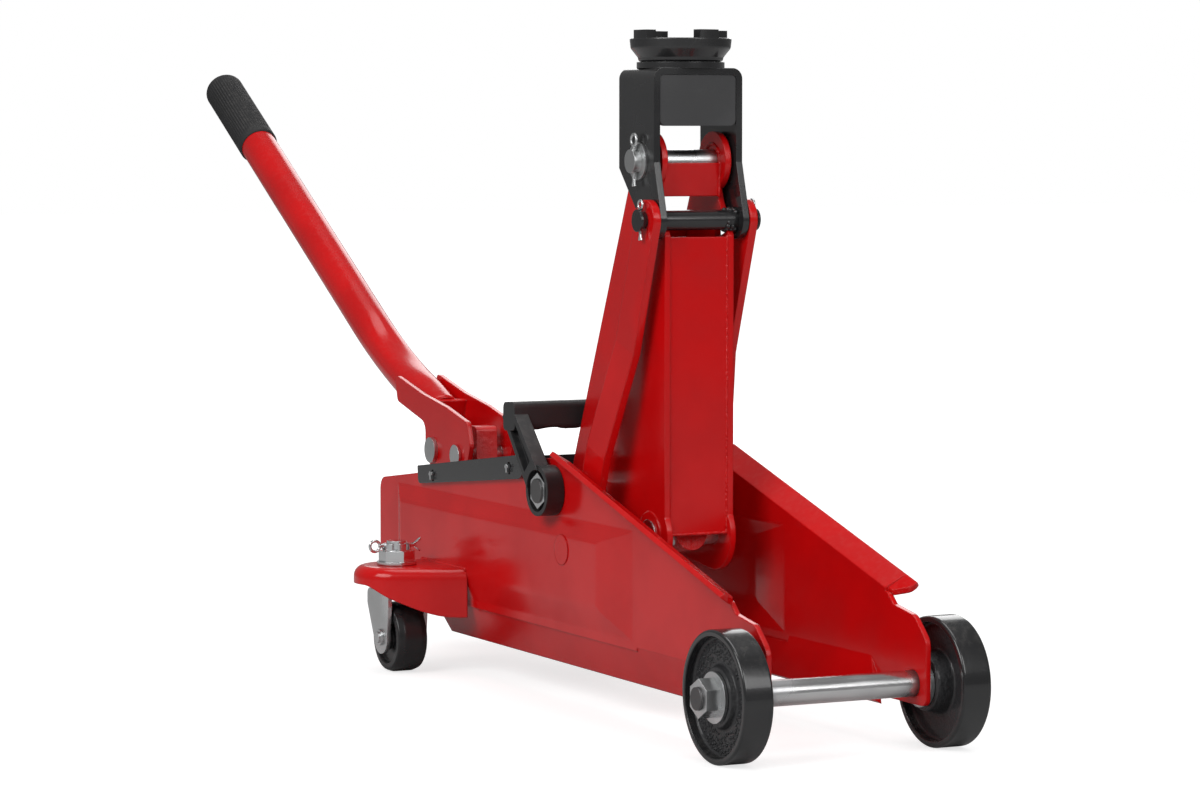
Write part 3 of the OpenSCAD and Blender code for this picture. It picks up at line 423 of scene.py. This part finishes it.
FINISHES: dict[str, Finish] = {
    # Each finish's second colour for edges is a lighter copy of its own: a painted highlight on the edges.
    "paint": Finish("Red gloss paint", RED, RED_SHADE, 0.2, coat=0.12, gloss=0.36,
                    edge_radius=1.3 * MM,
                    edge_highlight=0.05, edge_highlight_colour=(0.9, 0.09, 0.06), grain_scale=420.0,
                    grain_depth=0.012 * MM, dusty=0.03),
    "cast_paint": Finish("Red paint on casting", RED, RED_SHADE, 0.36, coat=0.3, edge_highlight=0.08,
                         edge_highlight_colour=(0.9, 0.1, 0.07), grain_scale=330.0, grain_depth=0.6 * MM),
    "black_paint": Finish("Black gloss paint", (0.014, 0.014, 0.015), (0.02, 0.02, 0.021), 0.25,
                          coat=0.4, edge_highlight=0.2, edge_highlight_colour=(0.09, 0.09, 0.09),
                          grain_depth=0.02 * MM),
    "satin_black": Finish("Satin grey-black plate", (0.042, 0.042, 0.044), (0.052, 0.052, 0.054),
                          0.46, edge_highlight=0.1, edge_highlight_colour=(0.1, 0.1, 0.1), grain_depth=0.04 * MM),
    "black_plastic": Finish("Moulded black plastic", (0.018, 0.018, 0.019), (0.024, 0.024, 0.025),
                            0.38, edge_highlight=0.1, edge_highlight_colour=(0.06, 0.06, 0.06), grain_scale=1100.0,
                            grain_depth=0.05 * MM),
    "black_iron": Finish("Black iron wheel", (0.012, 0.012, 0.013), (0.017, 0.017, 0.018), 0.22,
                         coat=0.4, edge_highlight=0.1, edge_highlight_colour=(0.08, 0.08, 0.08), grain_scale=420.0,
                         grain_depth=0.03 * MM, mark=Mark.CAST_WEB, mark_centre=tuple(FRONT_AXLE)),
    "hard_rubber": Finish("Hard black caster", (0.011, 0.011, 0.012), (0.016, 0.016, 0.017), 0.3,
                          edge_highlight=0.1, edge_highlight_colour=(0.05, 0.05, 0.05), grain_depth=0.04 * MM),
    "grip_rubber": Finish("Matte ribbed rubber", (0.014, 0.014, 0.015), (0.02, 0.02, 0.021), 0.68,
                          edge_highlight=0.1, edge_highlight_colour=(0.05, 0.05, 0.05), grain_scale=900.0,
                          grain_depth=0.08 * MM),
    "zinc": Finish("Bright zinc plate", (0.74, 0.75, 0.76), (0.60, 0.61, 0.61), 0.27,
                   rough_spread=0.16, metallic=1.0, edge_radius=0.4 * MM, edge_highlight=0.1,
                   edge_highlight_colour=(0.9, 0.9, 0.9), grain_scale=700.0, grain_depth=0.03 * MM,
                   dusty=0.04),
    "steel": Finish("Drawn steel bar", (0.72, 0.72, 0.72), (0.62, 0.62, 0.63), 0.24,
                    rough_spread=0.12, metallic=1.0, grain_scale=1500.0, grain_lie=0.04,
                    grain_depth=0.03 * MM, dusty=0.03, mark=Mark.WELD_HEAT,
                    mark_centre=(0.0, 0.0, 0.0)),
    "ram_steel": Finish("Ground ram with a painted end", (0.6, 0.6, 0.61), (0.5, 0.5, 0.51), 0.3,
                        metallic=1.0, grain_scale=420.0, grain_depth=0.03 * MM,
                        mark=Mark.PAINTED_END, mark_centre=tuple(joint_place("ram_swing"))),
    "dark_steel": Finish("Blackened steel", (0.09, 0.09, 0.095), (0.07, 0.07, 0.075), 0.4,
                         metallic=1.0, grain_depth=0.04 * MM),
}
SATIN_NODES = ("bracket_stiffener",)
MATERIALS = {slot: finish.material() for slot, finish in FINISHES.items()}


def dress(piece: bpy.types.Object, material: bpy.types.Material) -> None:
    """Gives a piece one material.

    Args:
        piece: the object to dress.
        material: its material.
    """
    piece.data.materials.clear()
    piece.data.materials.append(material)


def dress_frame() -> None:
    """Gives every CAD node the finish of its slot, or satin black for the nodes in SATIN_NODES."""
    for part in frame["record"]["subparts"]:
        slot = "satin_black" if part["node"] in SATIN_NODES else part["material_slot"]
        dress(frame["nodes"][part["node"]], MATERIALS[slot])
        LOG.info("dressed %s as %s", part["node"], slot)


# ---- meshes -----------------------------------------------------------------
def piece_from(name: str, mesh: bpy.types.Mesh, body: str, slot: str) -> bpy.types.Object:
    """Links a finished mesh as a piece that rides on a body.

    Args:
        name: the piece's name.
        mesh: its mesh, in the frame's coordinates.
        body: the CAD body that carries it.
        slot: name of the finish it is dressed in.

    Returns:
        The piece.
    """
    piece = bpy.data.objects.new(name, mesh)
    bpy.context.scene.collection.objects.link(piece)
    dress(piece, MATERIALS[slot])
    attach(piece, body)
    LOG.info("made %s: %d faces on %s", name, len(mesh.polygons), body)
    return piece


def shell_mesh(name: str, rings: Sequence[Sequence[Vector]], closed: bool) -> bpy.types.Mesh:
    """Skins a row of rings with the same number of points.

    Args:
        name: the mesh's name.
        rings: closed rings of points, in order.
        closed: joins the last ring to the first, for a hollow shell; otherwise the ends are capped.

    Returns:
        The mesh, with its faces outwards and shaded smooth.
    """
    work = bmesh.new()
    rows = [[work.verts.new(point) for point in ring] for ring in rings]
    count = len(rows[0])
    pairs = list(zip(rows, rows[1:])) + ([(rows[-1], rows[0])] if closed else [])
    for low, high in pairs:
        for i in range(count):
            j = (i + 1) % count
            work.faces.new((low[i], low[j], high[j], high[i]))
    if not closed:
        work.faces.new(rows[0])
        work.faces.new(rows[-1])
    bmesh.ops.recalc_face_normals(work, faces=work.faces)
    for face in work.faces:
        face.smooth = len(face.verts) == 4
    mesh = bpy.data.meshes.new(name)
    work.to_mesh(mesh)
    work.free()
    return mesh


# ---- geometry nodes ---------------------------------------------------------
@dataclass(frozen=True)
class Repeater:
    """A Geometry Nodes tree with named sizes, run once on a mesh and turned into a plain mesh."""

    tree: bpy.types.NodeTree

    @classmethod
    def lumps(cls, name: str, knob: str,
              spread: Callable[[Graph, Any, Any], bpy.types.NodeSocket]) -> "Repeater":
        """Rounded lumps of uneven size, set on the points that spread makes.

        Args:
            name: the tree's name.
            knob: name of the input that says how densely they lie.
            spread: turns the base geometry and the knob into points.

        Returns:
            The repeater, with inputs Radius, Seed, Material and the knob.
        """
        tree = bpy.data.node_groups.new(name, "GeometryNodeTree")
        graph = Graph(tree)
        face = tree.interface
        face.new_socket(name="Geometry", in_out="INPUT", socket_type="NodeSocketGeometry")
        for label, kind in ((knob, "NodeSocketFloat"), ("Radius", "NodeSocketFloat"),
                            ("Seed", "NodeSocketInt"), ("Material", "NodeSocketMaterial")):
            face.new_socket(name=label, in_out="INPUT", socket_type=kind)
        face.new_socket(name="Geometry", in_out="OUTPUT", socket_type="NodeSocketGeometry")
        given = graph.add("NodeGroupInput").outputs
        lump = graph.add("GeometryNodeMeshIcoSphere",
                         {"Radius": given["Radius"], "Subdivisions": 2})
        size = graph.add("FunctionNodeRandomValue", {2: 0.7, 3: 1.2, "Seed": given["Seed"]},
                         data_type="FLOAT")
        placed = graph.add("GeometryNodeInstanceOnPoints",
                           {"Points": spread(graph, given["Geometry"], given[knob]),
                            "Instance": lump.outputs["Mesh"], "Scale": size.outputs[1]})
        real = graph.add("GeometryNodeRealizeInstances", {0: placed.outputs[0]})
        smooth = graph.add("GeometryNodeSetShadeSmooth", {"Geometry": real.outputs[0]})
        dressed = graph.add("GeometryNodeSetMaterial",
                            {"Geometry": smooth.outputs[0], "Material": given["Material"]})
        graph.add("NodeGroupOutput", {0: dressed.outputs[0]})
        return cls(tree)

    def run(self, name: str, base: bpy.types.Mesh, values: dict[str, Any]) -> bpy.types.Mesh:
        """Runs the tree on a mesh.

        Args:
            name: the result's name.
            base: the mesh to start from.
            values: input name to value.

        Returns:
            The resulting plain mesh.
        """
        holder = bpy.data.objects.new(name, base)
        bpy.context.scene.collection.objects.link(holder)
        modifier = holder.modifiers.new("Repeat", "NODES")
        modifier.node_group = self.tree
        for item in self.tree.interface.items_tree:
            if item.in_out == "INPUT" and item.name in values:
                modifier[item.identifier] = values[item.name]
        evaluated = holder.evaluated_get(bpy.context.evaluated_depsgraph_get())
        made = bpy.data.meshes.new_from_object(evaluated)
        bpy.data.objects.remove(holder)
        made.name = name
        return made


def along_edges(graph: Graph, base: Any, pitch: Any) -> bpy.types.NodeSocket:
    """Spreads points a pitch apart along a mesh's edges.

    Args:
        graph: the tree's graph.
        base: the mesh's socket.
        pitch: socket of the distance between points, in metres.

    Returns:
        The points.
    """
    line = graph.add("GeometryNodeMeshToCurve", {"Mesh": base})
    return graph.add("GeometryNodeResampleCurve", {"Curve": line.outputs[0], "Length": pitch},
                     mode="LENGTH").outputs[0]


def over_faces(graph: Graph, base: Any, density: Any) -> bpy.types.NodeSocket:
    """Scatters points over a mesh's faces.

    Args:
        graph: the tree's graph.
        base: the mesh's socket.
        density: socket of the number of points per square metre.

    Returns:
        The points.
    """
    return graph.add("GeometryNodeDistributePointsOnFaces",
                     {"Mesh": base, "Density": density}).outputs[0]


WELD_BEAD = Repeater.lumps("Weld bead", "Pitch", along_edges)
PEBBLES = Repeater.lumps("Cast pebbles", "Density", over_faces)


def lines_mesh(name: str, lines: Iterable[Sequence[Vector]]) -> bpy.types.Mesh:
    """A mesh of edges only.

    Args:
        name: the mesh's name.
        lines: open lines of points.

    Returns:
        The mesh.
    """
    points: list[Vector] = []
    edges: list[tuple[int, int]] = []
    for line in lines:
        first = len(points)
        points += list(line)
        edges += [(first + i, first + i + 1) for i in range(len(line) - 1)]
    mesh = bpy.data.meshes.new(name)
    mesh.from_pydata(points, edges, [])
    return mesh


# ---- sub-assemblies ---------------------------------------------------------
def circle_line(centre: Vector, radius: float, start: float, turn: float) -> list[Vector]:
    """An arc about the Y direction.

    Args:
        centre: its centre.
        radius: its radius.
        start: angle of the first point, in degrees from +X towards +Z.
        turn: degrees it turns through.

    Returns:
        Its points.
    """
    angles = [math.radians(start + turn * i / 36) for i in range(37)]
    return [centre + Vector((math.cos(a), 0.0, math.sin(a))) * radius for a in angles]


@dataclass(frozen=True)
class Seam:
    """A weld seam on one body."""

    name: str
    body: str
    slot: str
    lines: list[list[Vector]]
    bead: float = 0.9 * MM
    pitch: float = 0.9 * MM
    seed: int = 3

    def lay(self) -> None:
        """Lays the bead along the lines."""
        mesh = WELD_BEAD.run(self.name, lines_mesh(self.name + "_lines", self.lines),
                             {"Pitch": self.pitch, "Radius": self.bead, "Seed": self.seed,
                              "Material": MATERIALS[self.slot]})
        piece_from(self.name, mesh, self.body, self.slot)


@dataclass
class LiftArm:
    """Weld seams of the arm and of the bracket that rides on it."""

    ear_weld_reach: float = 9.5 * MM
    collar_bead: float = 1.5 * MM

    def build(self) -> None:
        """Lays the seams."""
        low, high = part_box("arm_front_plate")
        x = high.x - 0.2 * MM
        seams = [[Vector((x, y, low.z)), Vector((x, y, high.z))] for y in (low.y, high.y)]
        seams.append([Vector((x, low.y, low.z)), Vector((x, high.y, low.z))])
        Seam("arm_welds", "lift_arm", "paint", seams).lay()
        low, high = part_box("arm_upper_plate")
        sides = [[Vector((high.x - 2.0 * MM, y, low.z)), Vector((high.x - 0.3 * MM, y, high.z))]
                 for y in (low.y, high.y)]
        Seam("upper_plate_welds", "lift_arm", "paint", sides, bead=1.1 * MM, seed=8).lay()
        pin_low, pin_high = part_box("head_pin")
        centre = (pin_low + pin_high) / 2
        rings = [circle_line(Vector((centre.x, y, centre.z)), self.ear_weld_reach, 30, 180)
                 for y in (low.y, high.y)]
        Seam("ear_welds", "lift_arm", "paint", rings, bead=1.0 * MM, seed=5).lay()
        low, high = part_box("link_spacer")
        centre = (low + high) / 2
        reach = (high.x - low.x) / 2
        collars = [circle_line(Vector((centre.x, high.y - back * MM, centre.z)), reach,
                               40 + back * 9, 250)
                   for back in (1.0, 3.4, 6.2)]
        collars.append(circle_line(Vector((centre.x, low.y + 1.0 * MM, centre.z)), reach, 0, 360))
        Seam("spacer_welds", "saddle_head", "black_paint", collars, bead=self.collar_bead,
             pitch=2.1 * MM, seed=11).lay()


def baked(name: str, mesh: bpy.types.Mesh, kind: str, **settings: Any) -> bpy.types.Mesh:
    """Runs one modifier on a mesh.

    Args:
        name: the result's name.
        mesh: the mesh to start from.
        kind: the modifier's type.
        settings: the modifier's properties.

    Returns:
        The resulting plain mesh, with only its sharp edges shaded sharp.
    """
    holder = bpy.data.objects.new(name, mesh)
    bpy.context.scene.collection.objects.link(holder)
    modifier = holder.modifiers.new("Bake", kind)
    for key, value in settings.items():
        setattr(modifier, key, value)
    made = bpy.data.meshes.new_from_object(
        holder.evaluated_get(bpy.context.evaluated_depsgraph_get()))
    bpy.data.objects.remove(holder)
    made.name = name
    work = bmesh.new()
    work.from_mesh(made)
    for face in work.faces:
        face.smooth = True
    for edge in work.edges:
        edge.smooth = len(edge.link_faces) == 2 and edge.calc_face_angle() < SHARP_ANGLE
    work.to_mesh(made)
    work.free()
    return made


@dataclass
class PressedEar:
    """A caster ear pressed from sheet, with a rolled rim that deepens towards the front."""

    side: str
    roll: float = 6.5 * MM
    sheet: float = 3 * MM
    roll_steps: int = 8
    depth_front: float = 29 * MM
    depth_rear: float = 10.5 * MM
    deep_from: float = 8 * MM
    deep_to: float = 40 * MM

    def build(self) -> None:
        """Builds the ear in place of its plain solid."""
        name = f"pressed_ear_{self.side}"
        mesh = baked(name, self.skin(name), "SOLIDIFY", thickness=self.sheet, offset=-1.0,
                     use_even_offset=True)
        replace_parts(piece_from(name, mesh, "chassis", "paint"), f"caster_ear_{self.side}")

    def outline(self, low: Vector, high: Vector, pin: Vector) -> list[tuple[Vector, Vector]]:
        """The rim's points with their outward normals, for the right-hand ear.

        Args:
            low: the solid's lowest corner.
            high: its highest corner.
            pin: centre of the kingpin.

        Returns:
            Points from the front foot round the outside to the rear foot.
        """
        centre = Vector((pin.x, pin.y))
        radius = pin.y - low.y
        front = Vector((high.x, high.y))
        reach = front - centre
        lean = math.atan2(reach.y, reach.x) - math.acos(radius / reach.length)
        touch = centre + Vector((math.cos(lean), math.sin(lean))) * radius
        normal = Vector((math.cos(lean), math.sin(lean)))
        points = [(front.lerp(touch, i / 8), normal) for i in range(8)]
        turn = math.pi + lean
        for i in range(37):
            angle = lean - turn * i / 36
            out = Vector((math.cos(angle), math.sin(angle)))
            points.append((centre + out * radius, out))
        rear = Vector((centre.x - radius, high.y))
        start = points[-1][0]
        points += [(start.lerp(rear, i / 4), Vector((-1.0, 0.0))) for i in range(1, 5)]
        return points

    def skin(self, name: str) -> bpy.types.Mesh:
        """The ear's outer surface as an open sheet.

        Args:
            name: the mesh's name.

        Returns:
            The mesh, with its faces outwards.
        """
        low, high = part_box(f"caster_ear_{self.side}")
        pin_low, pin_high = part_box(f"caster_kingpin_{self.side}")
        pin = (pin_low + pin_high) / 2
        flip = 1.0
        if self.side == "left":
            flip = -1.0
            low, high = Vector((low.x, -high.y, low.z)), Vector((high.x, -low.y, high.z))
            pin = Vector((pin.x, -pin.y, pin.z))
        work = bmesh.new()
        rows = []
        for point, out in self.outline(low, high, pin):
            ahead = min(1.0, max(0.0, (point.x - pin.x - self.deep_from)
                                 / (self.deep_to - self.deep_from)))
            ease = ahead * ahead * (3 - 2 * ahead)
            foot = high.z - self.depth_rear - (self.depth_front - self.depth_rear) * ease
            section = [(0.0, foot), (0.0, (foot + high.z - self.roll) / 2)]
            for i in range(self.roll_steps + 1):
                turn = math.pi / 2 * i / self.roll_steps
                section.append((self.roll * (1 - math.cos(turn)),
                                high.z - self.roll * (1 - math.sin(turn))))
            rows.append([work.verts.new((point.x - out.x * back,
                                         min(point.y - out.y * back, high.y) * flip, z))
                         for back, z in section])
        for first, second in zip(rows, rows[1:]):
            for i in range(len(first) - 1):
                work.faces.new((first[i], second[i], second[i + 1], first[i + 1]))
        rim = [row[-1] for row in rows]
        turns = [math.pi / 16 * k for k in range(32)]
        hole = [work.verts.new((pin.x + math.cos(a) * self.roll,
                                (pin.y + math.sin(a) * self.roll) * flip, high.z)) for a in turns]
        edges = []
        for loop in (rim, hole):
            for i, vert in enumerate(loop):
                other = loop[(i + 1) % len(loop)]
                edges.append(work.edges.get((vert, other)) or work.edges.new((vert, other)))
        bmesh.ops.triangle_fill(work, use_beauty=True, edges=edges)
        bmesh.ops.recalc_face_normals(work, faces=work.faces)
        work.faces.ensure_lookup_table()
        top = max(work.faces, key=lambda face: abs(face.normal.z) + face.calc_center_median().z)
        if top.normal.z < 0:
            bmesh.ops.reverse_faces(work, faces=work.faces)
        mesh = bpy.data.meshes.new(name)
        work.to_mesh(mesh)
        work.free()
        return mesh


@dataclass
class Running:
    """Caster ears and the rough webs of the front wheels."""

    web_depth: float = 5.5 * MM
    web_inner: float = 19 * MM
    web_outer: float = 30 * MM
    pebble: float = 0.62 * MM
    density: float = 420000.0

    def build(self) -> None:
        """Builds both sides."""
        for side in ("right", "left"):
            PressedEar(side).build()
            self.ear_weld(side)
            self.web(side)

    def ear_weld(self, side: str) -> None:
        """Lays the seam between a caster ear's top and the side plate.

        Args:
            side: "right" or "left".
        """
        low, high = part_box(f"caster_ear_{side}")
        y = high.y if side == "right" else low.y
        z = high.z - 0.2 * MM
        line = [Vector((low.x + 3 * MM, y, z)), Vector((high.x - 3 * MM, y, z))]
        Seam(f"caster_ear_weld_{side}", "chassis", "paint", [line], bead=1.2 * MM, seed=6).lay()

    def web(self, side: str) -> None:
        """Scatters low pebbles over the outer face of a front wheel's web.

        Args:
            side: "right" or "left".
        """
        low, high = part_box(f"front_wheel_{side}")
        y = low.y + self.web_depth if side == "right" else high.y - self.web_depth
        centre = (low + high) / 2
        work = bmesh.new()
        rings = [[work.verts.new(point) for point in
                  circle_line(Vector((centre.x, y, centre.z)), radius, 0, 360)[:-1]]
                 for radius in (self.web_inner, self.web_outer)]
        count = len(rings[0])
        for i in range(count):
            j = (i + 1) % count
            work.faces.new((rings[0][i], rings[0][j], rings[1][j], rings[1][i]))
        base = bpy.data.meshes.new(f"web_face_{side}")
        work.to_mesh(base)
        work.free()
        name = f"wheel_web_pebbles_{side}"
        mesh = PEBBLES.run(name, base, {"Density": self.density, "Radius": self.pebble, "Seed": 4,
                                        "Material": MATERIALS["black_iron"]})
        piece_from(name, mesh, f"front_wheel_{side}", "black_iron")


@dataclass
class HandleLooks:
    """The bent tube with its pressed dent, and the ribbed grip."""

    lower_slope: float = math.radians(21)
    upper_slope: float = math.radians(30)
    lower_length: float = 92 * MM
    wall: float = 1.8 * MM
    bend_reach: float = 42 * MM
    dent_depth: float = 3.4 * MM
    dent_half_length: float = 52 * MM
    dent_ahead: float = 34 * MM
    sides: int = 64
    grip_length: float = 83.6 * MM
    grip_round: float = 6 * MM
    rib_count: int = 44
    rib_depth: float = 0.55 * MM
    foot_chamfer: float = 0.6 * MM
    bead_proud: float = 0.15 * MM

    def build(self) -> None:
        """Builds the tube and the grip in place of their plain solids."""
        grip_low = self.grip_foot()
        tube = shell_mesh("bent_tube", self.tube_rings(grip_low), closed=True)
        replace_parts(piece_from("bent_tube", tube, "handle", "paint"), "handle_tube")
        grip = shell_mesh("ribbed_grip", self.grip_rings(grip_low), closed=False)
        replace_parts(piece_from("ribbed_grip", grip, "handle", "grip_rubber"), "handle_grip")

    def up(self, slope: float) -> Vector:
        """Points up along a stretch, towards the grip.

        Args:
            slope: the stretch's slope, in radians.

        Returns:
            The unit vector.
        """
        return Vector((-math.cos(slope), 0.0, math.sin(slope)))

    def grip_foot(self) -> Vector:
        """Finds the centre of the grip's lower end.

        Returns:
            The point, on the tube's axis.
        """
        low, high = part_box("handle_grip")
        radius = (high.y - low.y) / 2 - self.foot_chamfer
        return Vector((high.x - radius * math.sin(self.upper_slope), 0.0,
                       low.z + radius * math.cos(self.upper_slope)))

    def tube_rings(self, grip_low: Vector) -> list[list[Vector]]:
        """Rings up the outside of the tube and back down its inside.

        Args:
            grip_low: centre of the grip's lower end, on the tube's axis.

        Returns:
            The rings of a closed hollow shell.
        """
        low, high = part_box("handle_tube")
        radius = (high.y - low.y) / 2 - self.bead_proud
        start = Vector((high.x - radius * math.sin(self.lower_slope), 0.0,
                        low.z + radius * math.cos(self.lower_slope)))
        bend = start + self.up(self.lower_slope) * self.lower_length
        end = grip_low + self.up(self.upper_slope) * (self.grip_length - 4 * MM)
        first = bend - self.up(self.lower_slope) * self.bend_reach
        last = bend + self.up(self.upper_slope) * self.bend_reach
        steps = 26
        path = [start.lerp(first, i / 14) for i in range(14)]
        for i in range(steps + 1):
            t = i / steps
            path.append(first.lerp(bend, t).lerp(bend.lerp(last, t), t))
        path += [last.lerp(end, i / 20) for i in range(1, 21)]
        outer = [self.ring(path, i, radius, bend) for i in range(len(path))]
        inner = [self.ring(path, i, radius - self.wall, bend) for i in reversed(range(len(path)))]
        return outer + inner

    def ring(self, path: Sequence[Vector], i: int, radius: float, bend: Vector) -> list[Vector]:
        """One ring of the tube, pressed in on its upper side near the bend.

        Args:
            path: the tube's centre line.
            i: which of its points.
            radius: the ring's radius.
            bend: where the two stretches meet.

        Returns:
            The ring's points.
        """
        along = (path[min(i + 1, len(path) - 1)] - path[max(i - 1, 0)]).normalized()
        side = Vector((0.0, 1.0, 0.0))
        top = along.cross(side).normalized()
        top = top if top.z > 0 else -top
        travel = (path[i] - bend).dot(self.up(self.lower_slope)) + self.dent_ahead * 0.4
        window = max(0.0, 1 - (travel / self.dent_half_length) ** 2) ** 2
        points = []
        for k in range(self.sides):
            angle = 2 * math.pi * k / self.sides
            lift = math.cos(angle)
            press = window * self.dent_depth * max(0.0, lift - 0.45) / 0.55
            reach = radius - press
            points.append(path[i] + top * (reach * lift) + side * (radius * math.sin(angle)))
        return points

    def grip_rings(self, grip_low: Vector) -> list[list[Vector]]:
        """Rings of the grip, with ribs along it and a rounded outer end.

        Args:
            grip_low: centre of the grip's lower end.

        Returns:
            The rings, from the lower end to the outer end.
        """
        low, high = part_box("handle_grip")
        radius = (high.y - low.y) / 2
        along = self.up(self.upper_slope)
        side = Vector((0.0, 1.0, 0.0))
        top = along.cross(side)
        profile = [(0.0, radius - 0.9 * MM, 0.0), (1.2 * MM, radius, 0.0), (6 * MM, radius, 0.0),
                   (8 * MM, radius, 1.0)]
        straight = self.grip_length - self.grip_round
        profile += [(8 * MM + (straight - 12 * MM) * i / 12, radius, 1.0) for i in range(1, 13)]
        profile.append((straight, radius, 0.0))
        for i in range(1, 10):
            turn = math.pi / 2 * i / 10
            profile.append((straight + self.grip_round * math.sin(turn),
                            radius - self.grip_round * (1 - math.cos(turn)), 0.0))
        rings = []
        count = self.rib_count * 6
        for reach, size, ribbed in profile:
            ring = []
            for k in range(count):
                angle = 2 * math.pi * k / count
                groove = ribbed * self.rib_depth * (0.5 - 0.5 * math.cos(angle * self.rib_count))
                spread = size - groove
                ring.append(grip_low + along * reach
                            + (top * math.cos(angle) + side * math.sin(angle)) * spread)
            rings.append(ring)
        return rings


# ---- camera and light -------------------------------------------------------
@dataclass(frozen=True)
class Lamp:
    """A soft box."""

    name: str
    place: tuple[float, float, float]
    aim: tuple[float, float, float]
    size: tuple[float, float]
    power: float

    def make(self) -> None:
        """Adds the lamp, turned to its aim."""
        data = bpy.data.lights.new(self.name, "AREA")
        data.shape = "RECTANGLE"
        data.size, data.size_y = self.size
        data.energy = self.power
        lamp = bpy.data.objects.new(self.name, data)
        lamp.location = self.place
        towards = Vector(self.aim) - Vector(self.place)
        lamp.rotation_euler = towards.to_track_quat("-Z", "Y").to_euler()
        bpy.context.scene.collection.objects.link(lamp)


@dataclass(frozen=True)
class Studio:
    """Pale floor, soft boxes and the camera."""

    camera_place: tuple[float, float, float] = (2.182, -0.996, 0.326)
    camera_aim: tuple[float, float, float] = (-0.8954, 0.4399, -0.0696)
    lens: float = 116.3
    ambient: float = 0.22
    floor_glow: float = 0.72
    lamps: tuple[Lamp, ...] = (
        Lamp("Key", (0.9, -1.9, 1.5), (0.1, 0.0, 0.15), (1.6, 1.2), 30.0),
        Lamp("Front", (2.3, 0.5, 1.3), (0.2, 0.0, 0.2), (1.2, 1.2), 17.0),
        Lamp("Top", (0.0, 0.2, 2.2), (0.0, 0.0, 0.1), (1.8, 1.2), 16.0),
        Lamp("Back", (-1.8, 1.2, 1.1), (0.0, 0.0, 0.2), (1.4, 1.0), 10.0))

    def make(self) -> None:
        """Builds the studio."""
        self.make_floor()
        for lamp in self.lamps:
            lamp.make()
        data = bpy.data.cameras.new("Camera")
        data.lens = self.lens
        data.sensor_width = 36.0
        camera = bpy.data.objects.new("Camera", data)
        camera.location = self.camera_place
        camera.rotation_euler = Vector(self.camera_aim).to_track_quat("-Z", "Y").to_euler()
        scene = bpy.context.scene
        scene.collection.objects.link(camera)
        scene.camera = camera
        scene.view_settings.view_transform = "Standard"

    def make_floor(self) -> None:
        """Adds the floor and the pale surroundings."""
        half = 12.0
        mesh = bpy.data.meshes.new("floor")
        mesh.from_pydata([(-half, -half, 0), (half, -half, 0), (half, half, 0), (-half, half, 0)],
                         [], [(0, 1, 2, 3)])
        floor = bpy.data.objects.new("floor", mesh)
        bpy.context.scene.collection.objects.link(floor)
        material = bpy.data.materials.new("Pale floor")
        material.use_nodes = True
        graph = Graph(material.node_tree)
        place = graph.add("ShaderNodeTexCoord").outputs["Object"]
        away = graph.add("ShaderNodeVectorMath", {0: place}, operation="LENGTH").outputs["Value"]
        seen = graph.add("ShaderNodeLightPath").outputs["Is Camera Ray"]
        glow = graph.math("MULTIPLY", seen, graph.ramp(away, 0.5, 1.5, self.floor_glow, 1.0))
        shader = graph.add("ShaderNodeBsdfPrincipled", {
            "Base Color": FLOOR_GREY, "Roughness": 0.9,
            "Emission Color": WHITE, "Emission Strength": glow})
        graph.add("ShaderNodeOutputMaterial", {"Surface": shader.outputs[0]})
        dress(floor, material)
        world = bpy.data.worlds.new("Studio")
        world.use_nodes = True
        graph = Graph(world.node_tree)
        seen = graph.add("ShaderNodeLightPath").outputs["Is Camera Ray"]
        strength = graph.math("ADD", self.ambient, graph.math("MULTIPLY", seen, 1.0 - self.ambient))
        back = graph.add("ShaderNodeBackground", {"Color": WHITE, "Strength": strength})
        graph.add("ShaderNodeOutputWorld", {"Surface": back.outputs[0]})
        bpy.context.scene.world = world


def main() -> None:
    """Builds the studio and every sub-assembly in order."""
    logging.basicConfig(level=logging.INFO, format="%(name)s: %(message)s")
    Studio().make()
    dress_frame()
    LiftArm().build()
    Running().build()
    HandleLooks().build()
    LOG.info("all pieces made")


if __name__ == "__main__":
    main()
